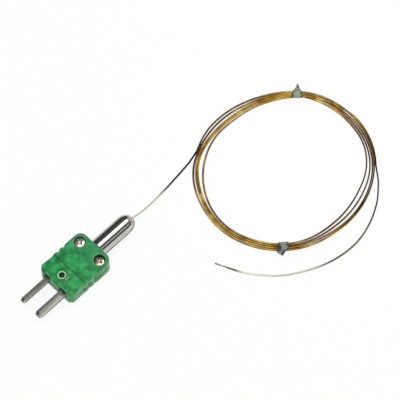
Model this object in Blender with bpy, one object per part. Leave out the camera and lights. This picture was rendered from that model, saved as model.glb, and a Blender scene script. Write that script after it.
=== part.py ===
"""Temperature probe: a fine twin-wire thermocouple on a miniature two-pin plug.

Frame: +X runs from the pins to the wire and +Z is up. The origin is the centre of the plug
housing's underside, which rests on z = 0. All sizes are in metres.
"""

import math

import bmesh
import bpy
from mathutils import Matrix, Vector

# Fits
CLEARANCE = 0.00025
THREAD_GAP = 0.0002
OVERCUT = 0.001

# Housing, seen from above: the front face is at the pins, the rear face at the metal tube
BODY_LENGTH = 0.0208
BODY_WIDTH = 0.0165
BODY_HEIGHT = 0.0080
FRONT_CORNER = 0.0014
NECK_INSET = 0.00025
NECK_START = 0.0056
NECK_LENGTH = 0.0010
RIB_COUNT = 3
RIB_PITCH = 0.0027
RIB_FLAT = 0.0009
RIB_DEPTH = 0.0006
RIB_RISE = 0.0009
REAR_CORNER = 0.0028
REAR_CORNER_STEPS = 8
TOP_ROUND = 0.0004
TOP_ROUND_STEPS = 2
BOTTOM_ROUND = 0.0013
BOTTOM_ROUND_STEPS = 4
BOTTOM_MARGIN = 0.0001

# Housing, top face
GROOVE_FROM_FRONT = 0.0074
GROOVE_WIDTH = 0.0006
GROOVE_DEPTH = 0.00035
RING_FROM_FRONT = 0.0037
RING_RADIUS = 0.0018
RING_HOLE_RADIUS = 0.00105
RING_LIP = 0.0001
RING_RISE = 0.00015
RING_HOLE_DEPTH = 0.0020

# Housing, inside
CAVITY_START = 0.0056
CAVITY_END = 0.0126
CAVITY_ROUND = 0.0008
CAVITY_ROUND_STEPS = 3
POCKET_SPARE = 0.0006

# Pins: the narrow one is positive and lies at +Y
PIN_PITCH = 0.00792
PIN_LENGTH = 0.0124
PIN_THICKNESS = 0.00079
PIN_WIDTH_POSITIVE = 0.00236
PIN_WIDTH_NEGATIVE = 0.00318
PIN_EDGE = 0.00012
PIN_TAPER = 0.0012
PIN_TIP_SHARE = 0.6
PIN_RELIEF_DEPTH = 0.00055
PIN_RELIEF_MARGIN = 0.0004
PIN_MOUTH_HEIGHT = 0.0019
PIN_MOUTH_DEPTH = 0.0026
PLATE_WIDTH = 0.0037
PLATE_LENGTH = 0.0054

# Terminal screws, inside on the pins' plates
TERMINAL_FROM_FRONT = 0.0088
TERMINAL_SHANK_RADIUS = 0.00095
TERMINAL_SHANK_LENGTH = 0.0039
TERMINAL_HEAD_RADIUS = 0.0016
TERMINAL_HEAD_HEIGHT = 0.0010
TERMINAL_HEAD_CROWN = 0.00025
TERMINAL_SLOT_LENGTH = 0.0019
TERMINAL_SLOT_DEPTH = 0.0005
WASHER_RADIUS = 0.00175
WASHER_THICKNESS = 0.0004
CONDUCTOR_RADIUS = 0.00015
CONDUCTOR_SPREAD = 0.0005
CONDUCTOR_POINT_SPACING = 0.00075

# Lid screws and their threaded inserts
SCREW_FROM_FRONT = 0.0174
SCREW_FROM_SIDE = 0.00315
SCREW_SHANK_RADIUS = 0.0010
SCREW_POINT_MARGIN = 0.0001
SCREW_POINT_CHAMFER = 0.00025
SCREW_HEAD_RADIUS = 0.0020
SCREW_HEAD_HEIGHT = 0.0012
SCREW_HEAD_CROWN = 0.0003
SCREW_SLOT_WIDTH = 0.0005
SCREW_SLOT_LENGTH = 0.0024
SCREW_SLOT_DEPTH = 0.0007
SCREW_CROWN_STEPS = 4
COUNTERBORE_DEPTH = 0.00255
LOOSE_SCREW_LIFT = 0.0006
INSERT_RADIUS = 0.0017
INSERT_HEIGHT = 0.0024
INSERT_DROP = 0.0004

# Strain-relief tube: the spigot and its flange are held between the two housing halves
TUBE_RADIUS = 0.0035
TUBE_BORE = 0.0025
TUBE_LENGTH = 0.01735
TUBE_STRAIGHT = 0.0134
TUBE_TIP_RADIUS = 0.0012
TUBE_TIP_WALL = 0.0012
TUBE_TAPER_STEPS = 7
TUBE_SHOULDER = 0.0009
SPIGOT_RADIUS = 0.0022
SPIGOT_BORE = 0.0012
FLANGE_RADIUS = 0.0028
FLANGE_THICKNESS = 0.0008
FLANGE_FROM_FRONT = 0.0135
SPIGOT_LEAD = 0.0006
POTTING_LENGTH = 0.0120

# Probe wire
WIRE_DIAMETER = 0.0006
WIRE_POINT_SPACING = 0.0018
SMOOTHING_STEPS = 12
JUNCTION_LENGTH = 0.0065
JUNCTION_BEAD_RADIUS = 0.00040
JUNCTION_BEAD_STEPS = 9
JUNCTION_WIRE_RADIUS = 0.00024

# Loop of coiled wire: slightly oval, pulled outward near one tie, and drawn together at both ties
COIL_CENTRE = Vector((0.08345, -0.02417))
COIL_RADIUS = 0.0319
COIL_OVAL = 0.0019
COIL_OVAL_ANGLE = math.radians(-5)
COIL_WIDTH = 0.0044
COIL_BULGE = 0.0007
COIL_BULGE_ANGLE = math.radians(-130)
COIL_BULGE_REACH = math.radians(35)
COIL_TIED_WIDTH = 0.0022
COIL_HEIGHT = 0.0011
COIL_SAG = 0.00035
COIL_STEPS = 96
COIL_SECTION_STEPS = 8

# Twist ties
TIE_TOP_ANGLE = math.radians(35)
TIE_BOTTOM_ANGLE = math.radians(-137)
TIE_WIDTH = 0.0038
TIE_THICKNESS = 0.00025
TIE_LOOP_STEPS = 24
TIE_LOOP_ROUNDNESS = 0.7
TIE_TAIL_LENGTH = 0.0028
TIE_TAIL_WIDTH = 0.0026
TIE_TAIL_TIP_SHARE = 0.5
TIE_TAIL_THICKNESS = 0.0008
TIE_TAIL_CHAMFER = 0.00018
TIE_TAIL_TURNS = 0.5
TIE_TAIL_STEPS = 12
TIE_TOP_LEAN = Vector((0, 0, 0.6))
TIE_BOTTOM_LEAN = Vector((-0.25, 0.2, 0.15))

# Faces and levels that several pieces share
FRONT_X = -BODY_LENGTH / 2
REAR_X = BODY_LENGTH / 2
SPLIT_Z = BODY_HEIGHT / 2
PIN_TOP_Z = SPLIT_Z + PIN_THICKNESS / 2
PIN_BOTTOM_Z = SPLIT_Z - PIN_THICKNESS / 2
CONDUCTOR_Z = PIN_TOP_Z + CLEARANCE + CONDUCTOR_RADIUS
WASHER_Z = CONDUCTOR_Z + CONDUCTOR_RADIUS + CLEARANCE
TERMINAL_HEAD_Z = WASHER_Z + WASHER_THICKNESS + CLEARANCE
TERMINAL_TOP_Z = TERMINAL_HEAD_Z + TERMINAL_HEAD_HEIGHT
TERMINAL_TIP_Z = TERMINAL_HEAD_Z - TERMINAL_SHANK_LENGTH
CAVITY_REACH_Y = PIN_PITCH / 2 + PLATE_WIDTH / 2 + CLEARANCE
COUNTERBORE_Z = BODY_HEIGHT - COUNTERBORE_DEPTH
SCREW_Y = BODY_WIDTH / 2 - SCREW_FROM_SIDE
INSERT_TOP_Z = SPLIT_Z - INSERT_DROP
INSERT_BOTTOM_Z = INSERT_TOP_Z - INSERT_HEIGHT
SCREW_SHANK_LENGTH = COUNTERBORE_Z + CLEARANCE - INSERT_BOTTOM_Z - SCREW_POINT_MARGIN
WIRE_RADIUS = WIRE_DIAMETER / 2
COIL_BOTTOM_Z = TIE_THICKNESS + CLEARANCE
COIL_MIDDLE_Z = COIL_BOTTOM_Z + COIL_HEIGHT / 2
TUBE_FACE_X = REAR_X + CLEARANCE
TUBE_TIP_X = TUBE_FACE_X + TUBE_LENGTH
POTTING_START_X = TUBE_FACE_X + TUBE_SHOULDER + CLEARANCE
POTTING_END_X = POTTING_START_X + POTTING_LENGTH

# Route of the wire from the potting in the tube to the loop, and from the loop to the tip
LEAD_ROUTE = [
    (POTTING_END_X + CLEARANCE, 0, SPLIT_Z),
    ((POTTING_END_X + TUBE_TIP_X) / 2, 0, SPLIT_Z),
    (TUBE_TIP_X, 0, SPLIT_Z),
    (0.0301, -0.0004, 0.00395),
    (0.0320, -0.0005, 0.00370),
    (0.0350, -0.0004, 0.00310),
    (0.0392, 0.0000, 0.00210),
    (0.0442, 0.0007, 0.00110),
    (0.0477, 0.0011, 0.00060),
    (0.0512, 0.0016, 0.00037),
    (0.0542, 0.0019, 0.00031),
    (0.0572, 0.0023, 0.00032),
    (0.0597, 0.0026, 0.00042),
    (0.0614, 0.0029, 0.00055),
    (0.0625, 0.0032, 0.00070),
]
TAIL_ROUTE = [
    (0.1060, -0.0505, 0.00070),
    (0.1046, -0.0519, 0.00055),
    (0.1030, -0.0535, 0.00042),
    (0.1003, -0.0558, 0.00032),
    (0.0980, -0.0576, 0.00030),
    (0.0954, -0.0591, 0.00030),
    (0.0920, -0.0608, 0.00030),
    (0.0870, -0.0626, 0.00030),
    (0.0818, -0.0637, 0.00030),
    (0.0785, -0.0639, 0.00030),
    (0.0744, -0.0637, 0.00030),
    (0.0694, -0.0628, 0.00030),
    (0.0663, -0.0619, 0.00030),
    (0.0633, -0.0608, 0.00030),
    (0.0588, -0.0586, 0.00030),
    (0.0566, -0.0573, 0.00030),
    (0.0533, -0.0552, 0.00030),
    (0.0497, -0.0523, 0.00030),
    (0.0471, -0.0494, 0.00030),
    (0.0440, -0.0456, 0.00030),
    (0.0417, -0.0420, 0.00030),
    (0.0403, -0.0390, 0.00030),
]


def clear_scene():
    for obj in list(bpy.data.objects):
        bpy.data.objects.remove(obj, do_unlink=True)


def make_material(name, color, roughness, metallic=0.0):
    material = bpy.data.materials.new(name)
    material.use_nodes = True
    shader = material.node_tree.nodes["Principled BSDF"]
    shader.inputs["Base Color"].default_value = (*color, 1.0)
    shader.inputs["Roughness"].default_value = roughness
    shader.inputs["Metallic"].default_value = metallic
    material.diffuse_color = (*color, 1.0)
    return material


def add_object(name, bm, material=None, smooth_angle=math.radians(35)):
    """Puts a closed bmesh into the scene under its name, shaded smooth up to a sharp angle."""
    bmesh.ops.recalc_face_normals(bm, faces=bm.faces)
    mesh = bpy.data.meshes.new(name)
    bm.to_mesh(mesh)
    bm.free()
    mesh.shade_smooth()
    mesh.set_sharp_from_angle(angle=smooth_angle)
    if material:
        mesh.materials.append(material)
    obj = bpy.data.objects.new(name, mesh)
    bpy.context.scene.collection.objects.link(obj)
    return obj


def add_boolean(target, name, bm, operation="DIFFERENCE"):
    """Cuts a hidden tool out of the target, or joins it on."""
    tool = add_object(f"{target.name}_{name}", bm)
    tool.hide_render = True
    tool.display_type = "WIRE"
    modifier = target.modifiers.new(name, "BOOLEAN")
    modifier.operation = operation
    modifier.solver = "EXACT"
    modifier.object = tool


def prism(outline, low, high):
    """A straight wall from low to high over an outline in the XY plane."""
    bm = bmesh.new()
    face = bm.faces.new([bm.verts.new((x, y, low)) for x, y in outline])
    raised = bmesh.ops.extrude_face_region(bm, geom=[face])["geom"]
    moved = [item for item in raised if isinstance(item, bmesh.types.BMVert)]
    bmesh.ops.translate(bm, verts=moved, vec=(0, 0, high - low))
    return bm


def box(low, high):
    outline = [(low[0], low[1]), (high[0], low[1]), (high[0], high[1]), (low[0], high[1])]
    return prism(outline, low[2], high[2])


def cylinder(radius, start, end, segments=32):
    """A round rod between two points, both on one line."""
    start = Vector(start)
    end = Vector(end)
    turn = (end - start).to_track_quat("Z", "Y").to_matrix().to_4x4()
    bm = bmesh.new()
    bmesh.ops.create_cone(
        bm,
        cap_ends=True,
        segments=segments,
        radius1=radius,
        radius2=radius,
        depth=(end - start).length,
        matrix=Matrix.Translation((start + end) / 2) @ turn,
    )
    return bm


def turned(profile, place, segments=32, closed=False):
    """Turns a profile of (along, radius) pairs about the local Z axis of a placing matrix.

    A profile that isn't closed starts and ends on the axis.
    """
    bm = bmesh.new()
    verts = [bm.verts.new((radius, 0, along)) for along, radius in profile]
    pairs = list(zip(verts, verts[1:]))
    if closed:
        pairs.append((verts[-1], verts[0]))
    edges = [bm.edges.new(pair) for pair in pairs]
    bmesh.ops.spin(
        bm,
        geom=verts + edges,
        cent=(0, 0, 0),
        axis=(0, 0, 1),
        angle=math.tau,
        steps=segments,
        use_merge=True,
    )
    bmesh.ops.remove_doubles(bm, verts=bm.verts, dist=1e-7)
    bmesh.ops.transform(bm, matrix=place, verts=bm.verts)
    return bm


def along_x(x, y, z):
    """A place whose local Z axis runs along +X."""
    return Matrix.Translation((x, y, z)) @ Matrix.Rotation(math.pi / 2, 4, "Y")


def loft(sections, closed=False):
    """Joins equal-length rings of points into a skin, with a cap at each open end."""
    bm = bmesh.new()
    rings = [[bm.verts.new(point) for point in section] for section in sections]
    pairs = list(zip(rings, rings[1:]))
    if closed:
        pairs.append((rings[-1], rings[0]))
    for ring, following in pairs:
        for index in range(len(ring)):
            after = (index + 1) % len(ring)
            bm.faces.new((ring[index], ring[after], following[after], following[index]))
    if not closed:
        bm.faces.new(rings[0])
        bm.faces.new(rings[-1])
    return bm


def chamfered_rectangle(half_width, half_height, chamfer):
    """Eight corners of a rectangle with its corners cut off, about the origin."""
    w, h, c = half_width, half_height, chamfer
    return [
        (-w, -h + c), (-w + c, -h), (w - c, -h), (w, -h + c),
        (w, h - c), (w - c, h), (-w + c, h), (-w, h - c),
    ]  # fmt: skip


def smooth_route(points, spacing):
    """Points at an even spacing along a smooth curve through the route's points."""
    points = [Vector(point) for point in points]
    padded = [2 * points[0] - points[1], *points, 2 * points[-1] - points[-2]]
    fine = []
    for before, start, end, after in zip(padded, padded[1:], padded[2:], padded[3:]):
        for step in range(SMOOTHING_STEPS):
            t = step / SMOOTHING_STEPS
            fine.append(
                0.5
                * (
                    2 * start
                    + (end - before) * t
                    + (2 * before - 5 * start + 4 * end - after) * t**2
                    + (3 * start - before - 3 * end + after) * t**3
                )
            )
    fine.append(points[-1])
    lengths = [0.0]
    for start, end in zip(fine, fine[1:]):
        lengths.append(lengths[-1] + (end - start).length)
    count = max(2, round(lengths[-1] / spacing))
    even = []
    index = 0
    for step in range(count + 1):
        wanted = lengths[-1] * step / count
        while index < len(fine) - 2 and lengths[index + 1] < wanted:
            index += 1
        share = (wanted - lengths[index]) / (lengths[index + 1] - lengths[index])
        even.append(fine[index].lerp(fine[index + 1], share))
    return even


def add_tube(name, points, radius, material):
    """A round wire along the points, with closed ends."""
    curve = bpy.data.curves.new(name, "CURVE")
    curve.dimensions = "3D"
    curve.bevel_depth = radius
    curve.bevel_resolution = 2
    curve.use_fill_caps = True
    spline = curve.splines.new("POLY")
    spline.points.add(len(points) - 1)
    for target, point in zip(spline.points, points):
        target.co = (*point, 1.0)
    curve.materials.append(material)
    obj = bpy.data.objects.new(name, curve)
    bpy.context.scene.collection.objects.link(obj)
    return obj


def rear_corner():
    """The rounded rear corner of the housing's +Y side, from the side to the rear face."""
    centre_x = REAR_X - REAR_CORNER
    centre_y = BODY_WIDTH / 2 - REAR_CORNER
    points = []
    for step in range(REAR_CORNER_STEPS + 1):
        angle = math.pi / 2 * (1 - step / REAR_CORNER_STEPS)
        x = centre_x + REAR_CORNER * math.cos(angle)
        y = centre_y + REAR_CORNER * math.sin(angle)
        points.append((x, y))
    return points


def front_corner():
    """The cut-off front corner of the housing's +Y side."""
    half_width = BODY_WIDTH / 2
    return [(FRONT_X, half_width - FRONT_CORNER), (FRONT_X + FRONT_CORNER, half_width)]


def mirrored(side):
    """A closed outline from its +Y side."""
    return side + [(x, -y) for x, y in reversed(side)]


def ribbed_outline():
    """The housing seen from above, with its grip ribs."""
    half_width = BODY_WIDTH / 2
    neck_end = FRONT_X + NECK_START + NECK_LENGTH
    side = front_corner()
    side.append((FRONT_X + NECK_START, half_width - NECK_INSET))
    side.append((neck_end, half_width - NECK_INSET))
    for rib in range(RIB_COUNT):
        crest = neck_end + RIB_RISE + rib * RIB_PITCH
        side.append((crest, half_width))
        if rib < RIB_COUNT - 1:
            side.append((crest + RIB_FLAT, half_width))
            side.append((crest + (RIB_FLAT + RIB_PITCH) / 2, half_width - RIB_DEPTH))
    return mirrored(side + rear_corner())


def round_rim(bm, rim_z, offset, steps):
    """Rounds the edges that run round a block at one height."""
    rim = [edge for edge in bm.edges if all(abs(vert.co.z - rim_z) < 1e-6 for vert in edge.verts)]
    bmesh.ops.bevel(
        bm,
        geom=rim,
        offset=offset,
        offset_type="OFFSET",
        segments=steps,
        profile=0.5,
        affect="EDGES",
        clamp_overlap=True,
        material=-1,
    )


def pin_sides():
    """(sign along Y, pin width) of the positive and the negative pin."""
    return ((1, PIN_WIDTH_POSITIVE), (-1, PIN_WIDTH_NEGATIVE))


def cut_shared_seats(half):
    """The seats that both halves share: pin slots, wire channel and flange groove."""
    channel_start = FRONT_X + CAVITY_END - OVERCUT
    channel_end = REAR_X + OVERCUT
    channel = cylinder(
        SPIGOT_RADIUS + CLEARANCE, (channel_start, 0, SPLIT_Z), (channel_end, 0, SPLIT_Z)
    )
    add_boolean(half, "wire_channel", channel)
    groove_start = FRONT_X + FLANGE_FROM_FRONT - CLEARANCE
    groove_end = groove_start + FLANGE_THICKNESS + 2 * CLEARANCE
    groove = cylinder(
        FLANGE_RADIUS + CLEARANCE, (groove_start, 0, SPLIT_Z), (groove_end, 0, SPLIT_Z)
    )
    add_boolean(half, "flange_groove", groove)
    for sign, width in pin_sides():
        middle_y = sign * PIN_PITCH / 2
        reach_y = width / 2 + CLEARANCE
        slot = box(
            (FRONT_X - OVERCUT, middle_y - reach_y, PIN_BOTTOM_Z - CLEARANCE),
            (FRONT_X + CAVITY_START + OVERCUT, middle_y + reach_y, PIN_TOP_Z + CLEARANCE),
        )
        add_boolean(half, f"pin_slot_{'positive' if sign > 0 else 'negative'}", slot)


def cut_pin_reliefs(lid):
    """Above each pin a shallow notch up to the top face, and a deeper mouth under it."""
    for sign, width in pin_sides():
        side = "positive" if sign > 0 else "negative"
        middle_y = sign * PIN_PITCH / 2
        reach_y = width / 2 + PIN_RELIEF_MARGIN
        for name, depth, top in (
            ("pin_relief", PIN_RELIEF_DEPTH, BODY_HEIGHT + OVERCUT),
            ("pin_mouth", PIN_MOUTH_DEPTH, PIN_TOP_Z + PIN_MOUTH_HEIGHT),
        ):
            notch = box(
                (FRONT_X - OVERCUT, middle_y - reach_y, SPLIT_Z - OVERCUT),
                (FRONT_X + depth, middle_y + reach_y, top),
            )
            add_boolean(lid, f"{name}_{side}", notch)


def rounded_box(low, high, radius):
    """A box whose upright corners are rounded."""
    bm = box(low, high)
    upright = [edge for edge in bm.edges if abs(edge.verts[0].co.z - edge.verts[1].co.z) > 1e-6]
    bmesh.ops.bevel(
        bm,
        geom=upright,
        offset=radius,
        segments=CAVITY_ROUND_STEPS,
        profile=0.5,
        affect="EDGES",
        material=-1,
    )
    return bm


def terminal_places():
    x = FRONT_X + TERMINAL_FROM_FRONT
    return (("positive", x, PIN_PITCH / 2), ("negative", x, -PIN_PITCH / 2))


def lid_screw_places():
    x = FRONT_X + SCREW_FROM_FRONT
    return (("left", x, SCREW_Y), ("right", x, -SCREW_Y))


def make_base(plastic):
    """The lower half: a block with a rounded underside, trimmed to the ribbed outline."""
    high = SPLIT_Z - CLEARANCE / 2
    wider_x = 1 + 2 * BOTTOM_MARGIN / BODY_LENGTH
    wider_y = 1 + 2 * BOTTOM_MARGIN / BODY_WIDTH
    plain = [(x * wider_x, y * wider_y) for x, y in mirrored(front_corner() + rear_corner())]
    block = prism(plain, 0, high)
    round_rim(block, 0, BOTTOM_ROUND, BOTTOM_ROUND_STEPS)
    base = add_object("housing_base", block, plastic)
    ribs = prism(ribbed_outline(), -OVERCUT, high + OVERCUT)
    add_boolean(base, "grip_ribs", ribs, "INTERSECT")
    well = rounded_box(
        (FRONT_X + CAVITY_START, -CAVITY_REACH_Y, PIN_BOTTOM_Z - CLEARANCE),
        (FRONT_X + CAVITY_END, CAVITY_REACH_Y, BODY_HEIGHT),
        CAVITY_ROUND,
    )
    add_boolean(base, "terminal_well", well)
    cut_shared_seats(base)
    for side, x, y in terminal_places():
        floor = TERMINAL_TIP_Z - POCKET_SPARE
        pocket = cylinder(TERMINAL_SHANK_RADIUS + CLEARANCE, (x, y, floor), (x, y, BODY_HEIGHT), 24)
        add_boolean(base, f"screw_pocket_{side}", pocket)
    for side, x, y in lid_screw_places():
        floor = INSERT_BOTTOM_Z - CLEARANCE
        seat = cylinder(INSERT_RADIUS + CLEARANCE, (x, y, floor), (x, y, BODY_HEIGHT), 24)
        add_boolean(base, f"insert_seat_{side}", seat)


def make_lid(plastic):
    block = prism(ribbed_outline(), SPLIT_Z + CLEARANCE / 2, BODY_HEIGHT)
    round_rim(block, BODY_HEIGHT, TOP_ROUND, TOP_ROUND_STEPS)
    lid = add_object("housing_lid", block, plastic)
    half_width = BODY_WIDTH / 2 + OVERCUT
    groove_x = FRONT_X + GROOVE_FROM_FRONT
    groove = loft(
        [
            [
                (groove_x - GROOVE_WIDTH / 2, y, BODY_HEIGHT + OVERCUT),
                (groove_x - GROOVE_WIDTH / 2, y, BODY_HEIGHT),
                (groove_x, y, BODY_HEIGHT - GROOVE_DEPTH),
                (groove_x + GROOVE_WIDTH / 2, y, BODY_HEIGHT),
                (groove_x + GROOVE_WIDTH / 2, y, BODY_HEIGHT + OVERCUT),
            ]
            for y in (-half_width, half_width)
        ]
    )
    add_boolean(lid, "cross_groove", groove)
    ring_x = FRONT_X + RING_FROM_FRONT
    hole = cylinder(
        RING_HOLE_RADIUS,
        (ring_x, 0, BODY_HEIGHT - RING_HOLE_DEPTH),
        (ring_x, 0, BODY_HEIGHT + OVERCUT),
    )
    add_boolean(lid, "ring_hole", hole)
    rim_top = BODY_HEIGHT + RING_RISE
    rim = turned(
        [
            (BODY_HEIGHT - OVERCUT / 2, RING_HOLE_RADIUS + RING_LIP),
            (BODY_HEIGHT - OVERCUT / 2, RING_RADIUS),
            (BODY_HEIGHT, RING_RADIUS),
            (rim_top, RING_RADIUS - RING_RISE),
            (rim_top, RING_HOLE_RADIUS + RING_LIP),
        ],
        Matrix.Translation((ring_x, 0, 0)),
        closed=True,
    )
    add_boolean(lid, "ring_rim", rim, "UNION")
    cavity = rounded_box(
        (FRONT_X + CAVITY_START, -CAVITY_REACH_Y, 0),
        (FRONT_X + CAVITY_END, CAVITY_REACH_Y, TERMINAL_TOP_Z + CLEARANCE),
        CAVITY_ROUND,
    )
    add_boolean(lid, "terminal_cavity", cavity)
    cut_shared_seats(lid)
    cut_pin_reliefs(lid)
    for side, x, y in lid_screw_places():
        counterbore = cylinder(
            SCREW_HEAD_RADIUS + CLEARANCE, (x, y, COUNTERBORE_Z), (x, y, BODY_HEIGHT + OVERCUT)
        )
        add_boolean(lid, f"counterbore_{side}", counterbore)
        passage = cylinder(SCREW_SHANK_RADIUS + CLEARANCE, (x, y, 0), (x, y, BODY_HEIGHT), 24)
        add_boolean(lid, f"screw_hole_{side}", passage)


def make_pins(metal):
    """Each pin is one stamped blade with its terminal plate behind it."""
    tip_x = FRONT_X - PIN_LENGTH
    taper_x = tip_x + PIN_TAPER
    plate_x = FRONT_X + CAVITY_START + CLEARANCE
    for (side, hole_x, hole_y), (sign, width) in zip(terminal_places(), pin_sides()):
        middle_y = sign * PIN_PITCH / 2
        corners = [
            (tip_x, width * PIN_TIP_SHARE / 2),
            (taper_x, width / 2),
            (plate_x, width / 2),
            (plate_x, PLATE_WIDTH / 2),
            (plate_x + PLATE_LENGTH, PLATE_WIDTH / 2),
        ]
        outline = [(x, middle_y + reach) for x, reach in corners]
        outline += [(x, middle_y - reach) for x, reach in reversed(corners)]
        bm = prism(outline, PIN_BOTTOM_Z, PIN_TOP_Z)
        everything = bm.verts[:] + bm.edges[:] + bm.faces[:]
        cut = bmesh.ops.bisect_plane(bm, geom=everything, plane_co=(taper_x, 0, 0), plane_no=(1, 0, 0))
        cut_verts = [item for item in cut["geom_cut"] if isinstance(item, bmesh.types.BMVert)]
        bmesh.ops.connect_verts(bm, verts=cut_verts)
        for vert in bm.verts:
            if vert.co.x < taper_x - PIN_TAPER / 2:
                vert.co.z = SPLIT_Z + (vert.co.z - SPLIT_Z) * PIN_TIP_SHARE
        bmesh.ops.bevel(
            bm, geom=bm.edges[:], offset=PIN_EDGE, segments=1, profile=0.5, affect="EDGES", material=-1
        )
        pin = add_object(f"pin_{side}", bm, metal)
        screw_hole = cylinder(
            TERMINAL_SHANK_RADIUS + THREAD_GAP, (hole_x, hole_y, 0), (hole_x, hole_y, BODY_HEIGHT), 24
        )
        add_boolean(pin, "screw_hole", screw_hole)


def cross_recess(screw, x, y, top, slot_length, slot_depth):
    """Cuts a cross for a screwdriver into a screw's head."""
    for name, reach_x, reach_y in (
        ("slot_along", slot_length / 2, SCREW_SLOT_WIDTH / 2),
        ("slot_across", SCREW_SLOT_WIDTH / 2, slot_length / 2),
    ):
        slot = box(
            (x - reach_x, y - reach_y, top - slot_depth),
            (x + reach_x, y + reach_y, top + OVERCUT),
        )
        add_boolean(screw, name, slot)


def screw_profile(tip, head_bottom, head_top, shank_radius, head_radius, crown):
    """A screw as (height, radius) pairs, from its tip to the domed crown of its head."""
    profile = [
        (tip, 0),
        (tip, shank_radius - SCREW_POINT_CHAMFER),
        (tip + SCREW_POINT_CHAMFER, shank_radius),
        (head_bottom, shank_radius),
        (head_bottom, head_radius),
    ]
    for step in range(SCREW_CROWN_STEPS + 1):
        angle = math.pi / 2 * step / SCREW_CROWN_STEPS
        profile.append((head_top - crown * (1 - math.sin(angle)), head_radius * math.cos(angle)))
    return profile


def make_terminals(plated_steel, bare_metal):
    """Terminal screws and washers, which clamp the bare conductors onto the pins' plates."""
    shank_gap = TERMINAL_SHANK_RADIUS + THREAD_GAP
    spigot_end_x = FRONT_X + FLANGE_FROM_FRONT - SPIGOT_LEAD
    for side, x, y in terminal_places():
        washer = turned(
            [
                (WASHER_Z, shank_gap),
                (WASHER_Z, WASHER_RADIUS),
                (WASHER_Z + WASHER_THICKNESS, WASHER_RADIUS),
                (WASHER_Z + WASHER_THICKNESS, shank_gap),
            ],
            Matrix.Translation((x, y, 0)),
            24,
            closed=True,
        )
        add_object(f"terminal_washer_{side}", washer, plated_steel)
        profile = screw_profile(
            TERMINAL_TIP_Z,
            TERMINAL_HEAD_Z,
            TERMINAL_TOP_Z,
            TERMINAL_SHANK_RADIUS,
            TERMINAL_HEAD_RADIUS,
            TERMINAL_HEAD_CROWN,
        )
        screw = add_object(
            f"terminal_screw_{side}", turned(profile, Matrix.Translation((x, y, 0)), 24), plated_steel
        )
        cross_recess(screw, x, y, TERMINAL_TOP_Z, TERMINAL_SLOT_LENGTH, TERMINAL_SLOT_DEPTH)
        sign = 1 if y > 0 else -1
        beside_screw = y - sign * (shank_gap + CONDUCTOR_RADIUS)
        bore_y = sign * CONDUCTOR_SPREAD
        bend = Vector(
            (
                (spigot_end_x + x + WASHER_RADIUS) / 2,
                (bore_y + beside_screw) / 2,
                (SPLIT_Z + CONDUCTOR_Z) / 2 + CLEARANCE,
            )
        )
        route = [
            (POTTING_START_X - CLEARANCE, bore_y, SPLIT_Z),
            (REAR_X, bore_y, SPLIT_Z),
            (FRONT_X + FLANGE_FROM_FRONT, bore_y, SPLIT_Z),
            (spigot_end_x, bore_y, SPLIT_Z),
            bend,
            (x + WASHER_RADIUS, beside_screw, CONDUCTOR_Z),
            (x, beside_screw, CONDUCTOR_Z),
            (x - WASHER_RADIUS, beside_screw, CONDUCTOR_Z),
        ]
        points = smooth_route(route, CONDUCTOR_POINT_SPACING)
        add_tube(f"conductor_{side}", points, CONDUCTOR_RADIUS, bare_metal)


def make_lid_screws(plated_steel, brass):
    """Lid screws in their counterbores, and the threaded inserts that hold them."""
    for side, x, y in lid_screw_places():
        lift = LOOSE_SCREW_LIFT if side == "left" else 0
        head_z = COUNTERBORE_Z + CLEARANCE + lift
        head_top = head_z + SCREW_HEAD_HEIGHT
        profile = screw_profile(
            head_z - SCREW_SHANK_LENGTH,
            head_z,
            head_top,
            SCREW_SHANK_RADIUS,
            SCREW_HEAD_RADIUS,
            SCREW_HEAD_CROWN,
        )
        screw = add_object(
            f"lid_screw_{side}", turned(profile, Matrix.Translation((x, y, 0)), 32), plated_steel
        )
        cross_recess(screw, x, y, head_top, SCREW_SLOT_LENGTH, SCREW_SLOT_DEPTH)
        bore = SCREW_SHANK_RADIUS + THREAD_GAP
        insert = turned(
            [
                (INSERT_BOTTOM_Z, bore),
                (INSERT_BOTTOM_Z, INSERT_RADIUS),
                (INSERT_TOP_Z, INSERT_RADIUS),
                (INSERT_TOP_Z, bore),
            ],
            Matrix.Translation((x, y, 0)),
            24,
            closed=True,
        )
        add_object(f"lid_insert_{side}", insert, brass)


def tube_taper():
    """(share along the taper, radius) of the tube's closed-in end, as a quarter of an ellipse."""
    points = []
    for step in range(1, TUBE_TAPER_STEPS + 1):
        angle = math.pi / 2 * step / TUBE_TAPER_STEPS
        radius = TUBE_TIP_RADIUS + (TUBE_RADIUS - TUBE_TIP_RADIUS) * math.cos(angle)
        points.append((math.sin(angle), radius))
    return points


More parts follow.
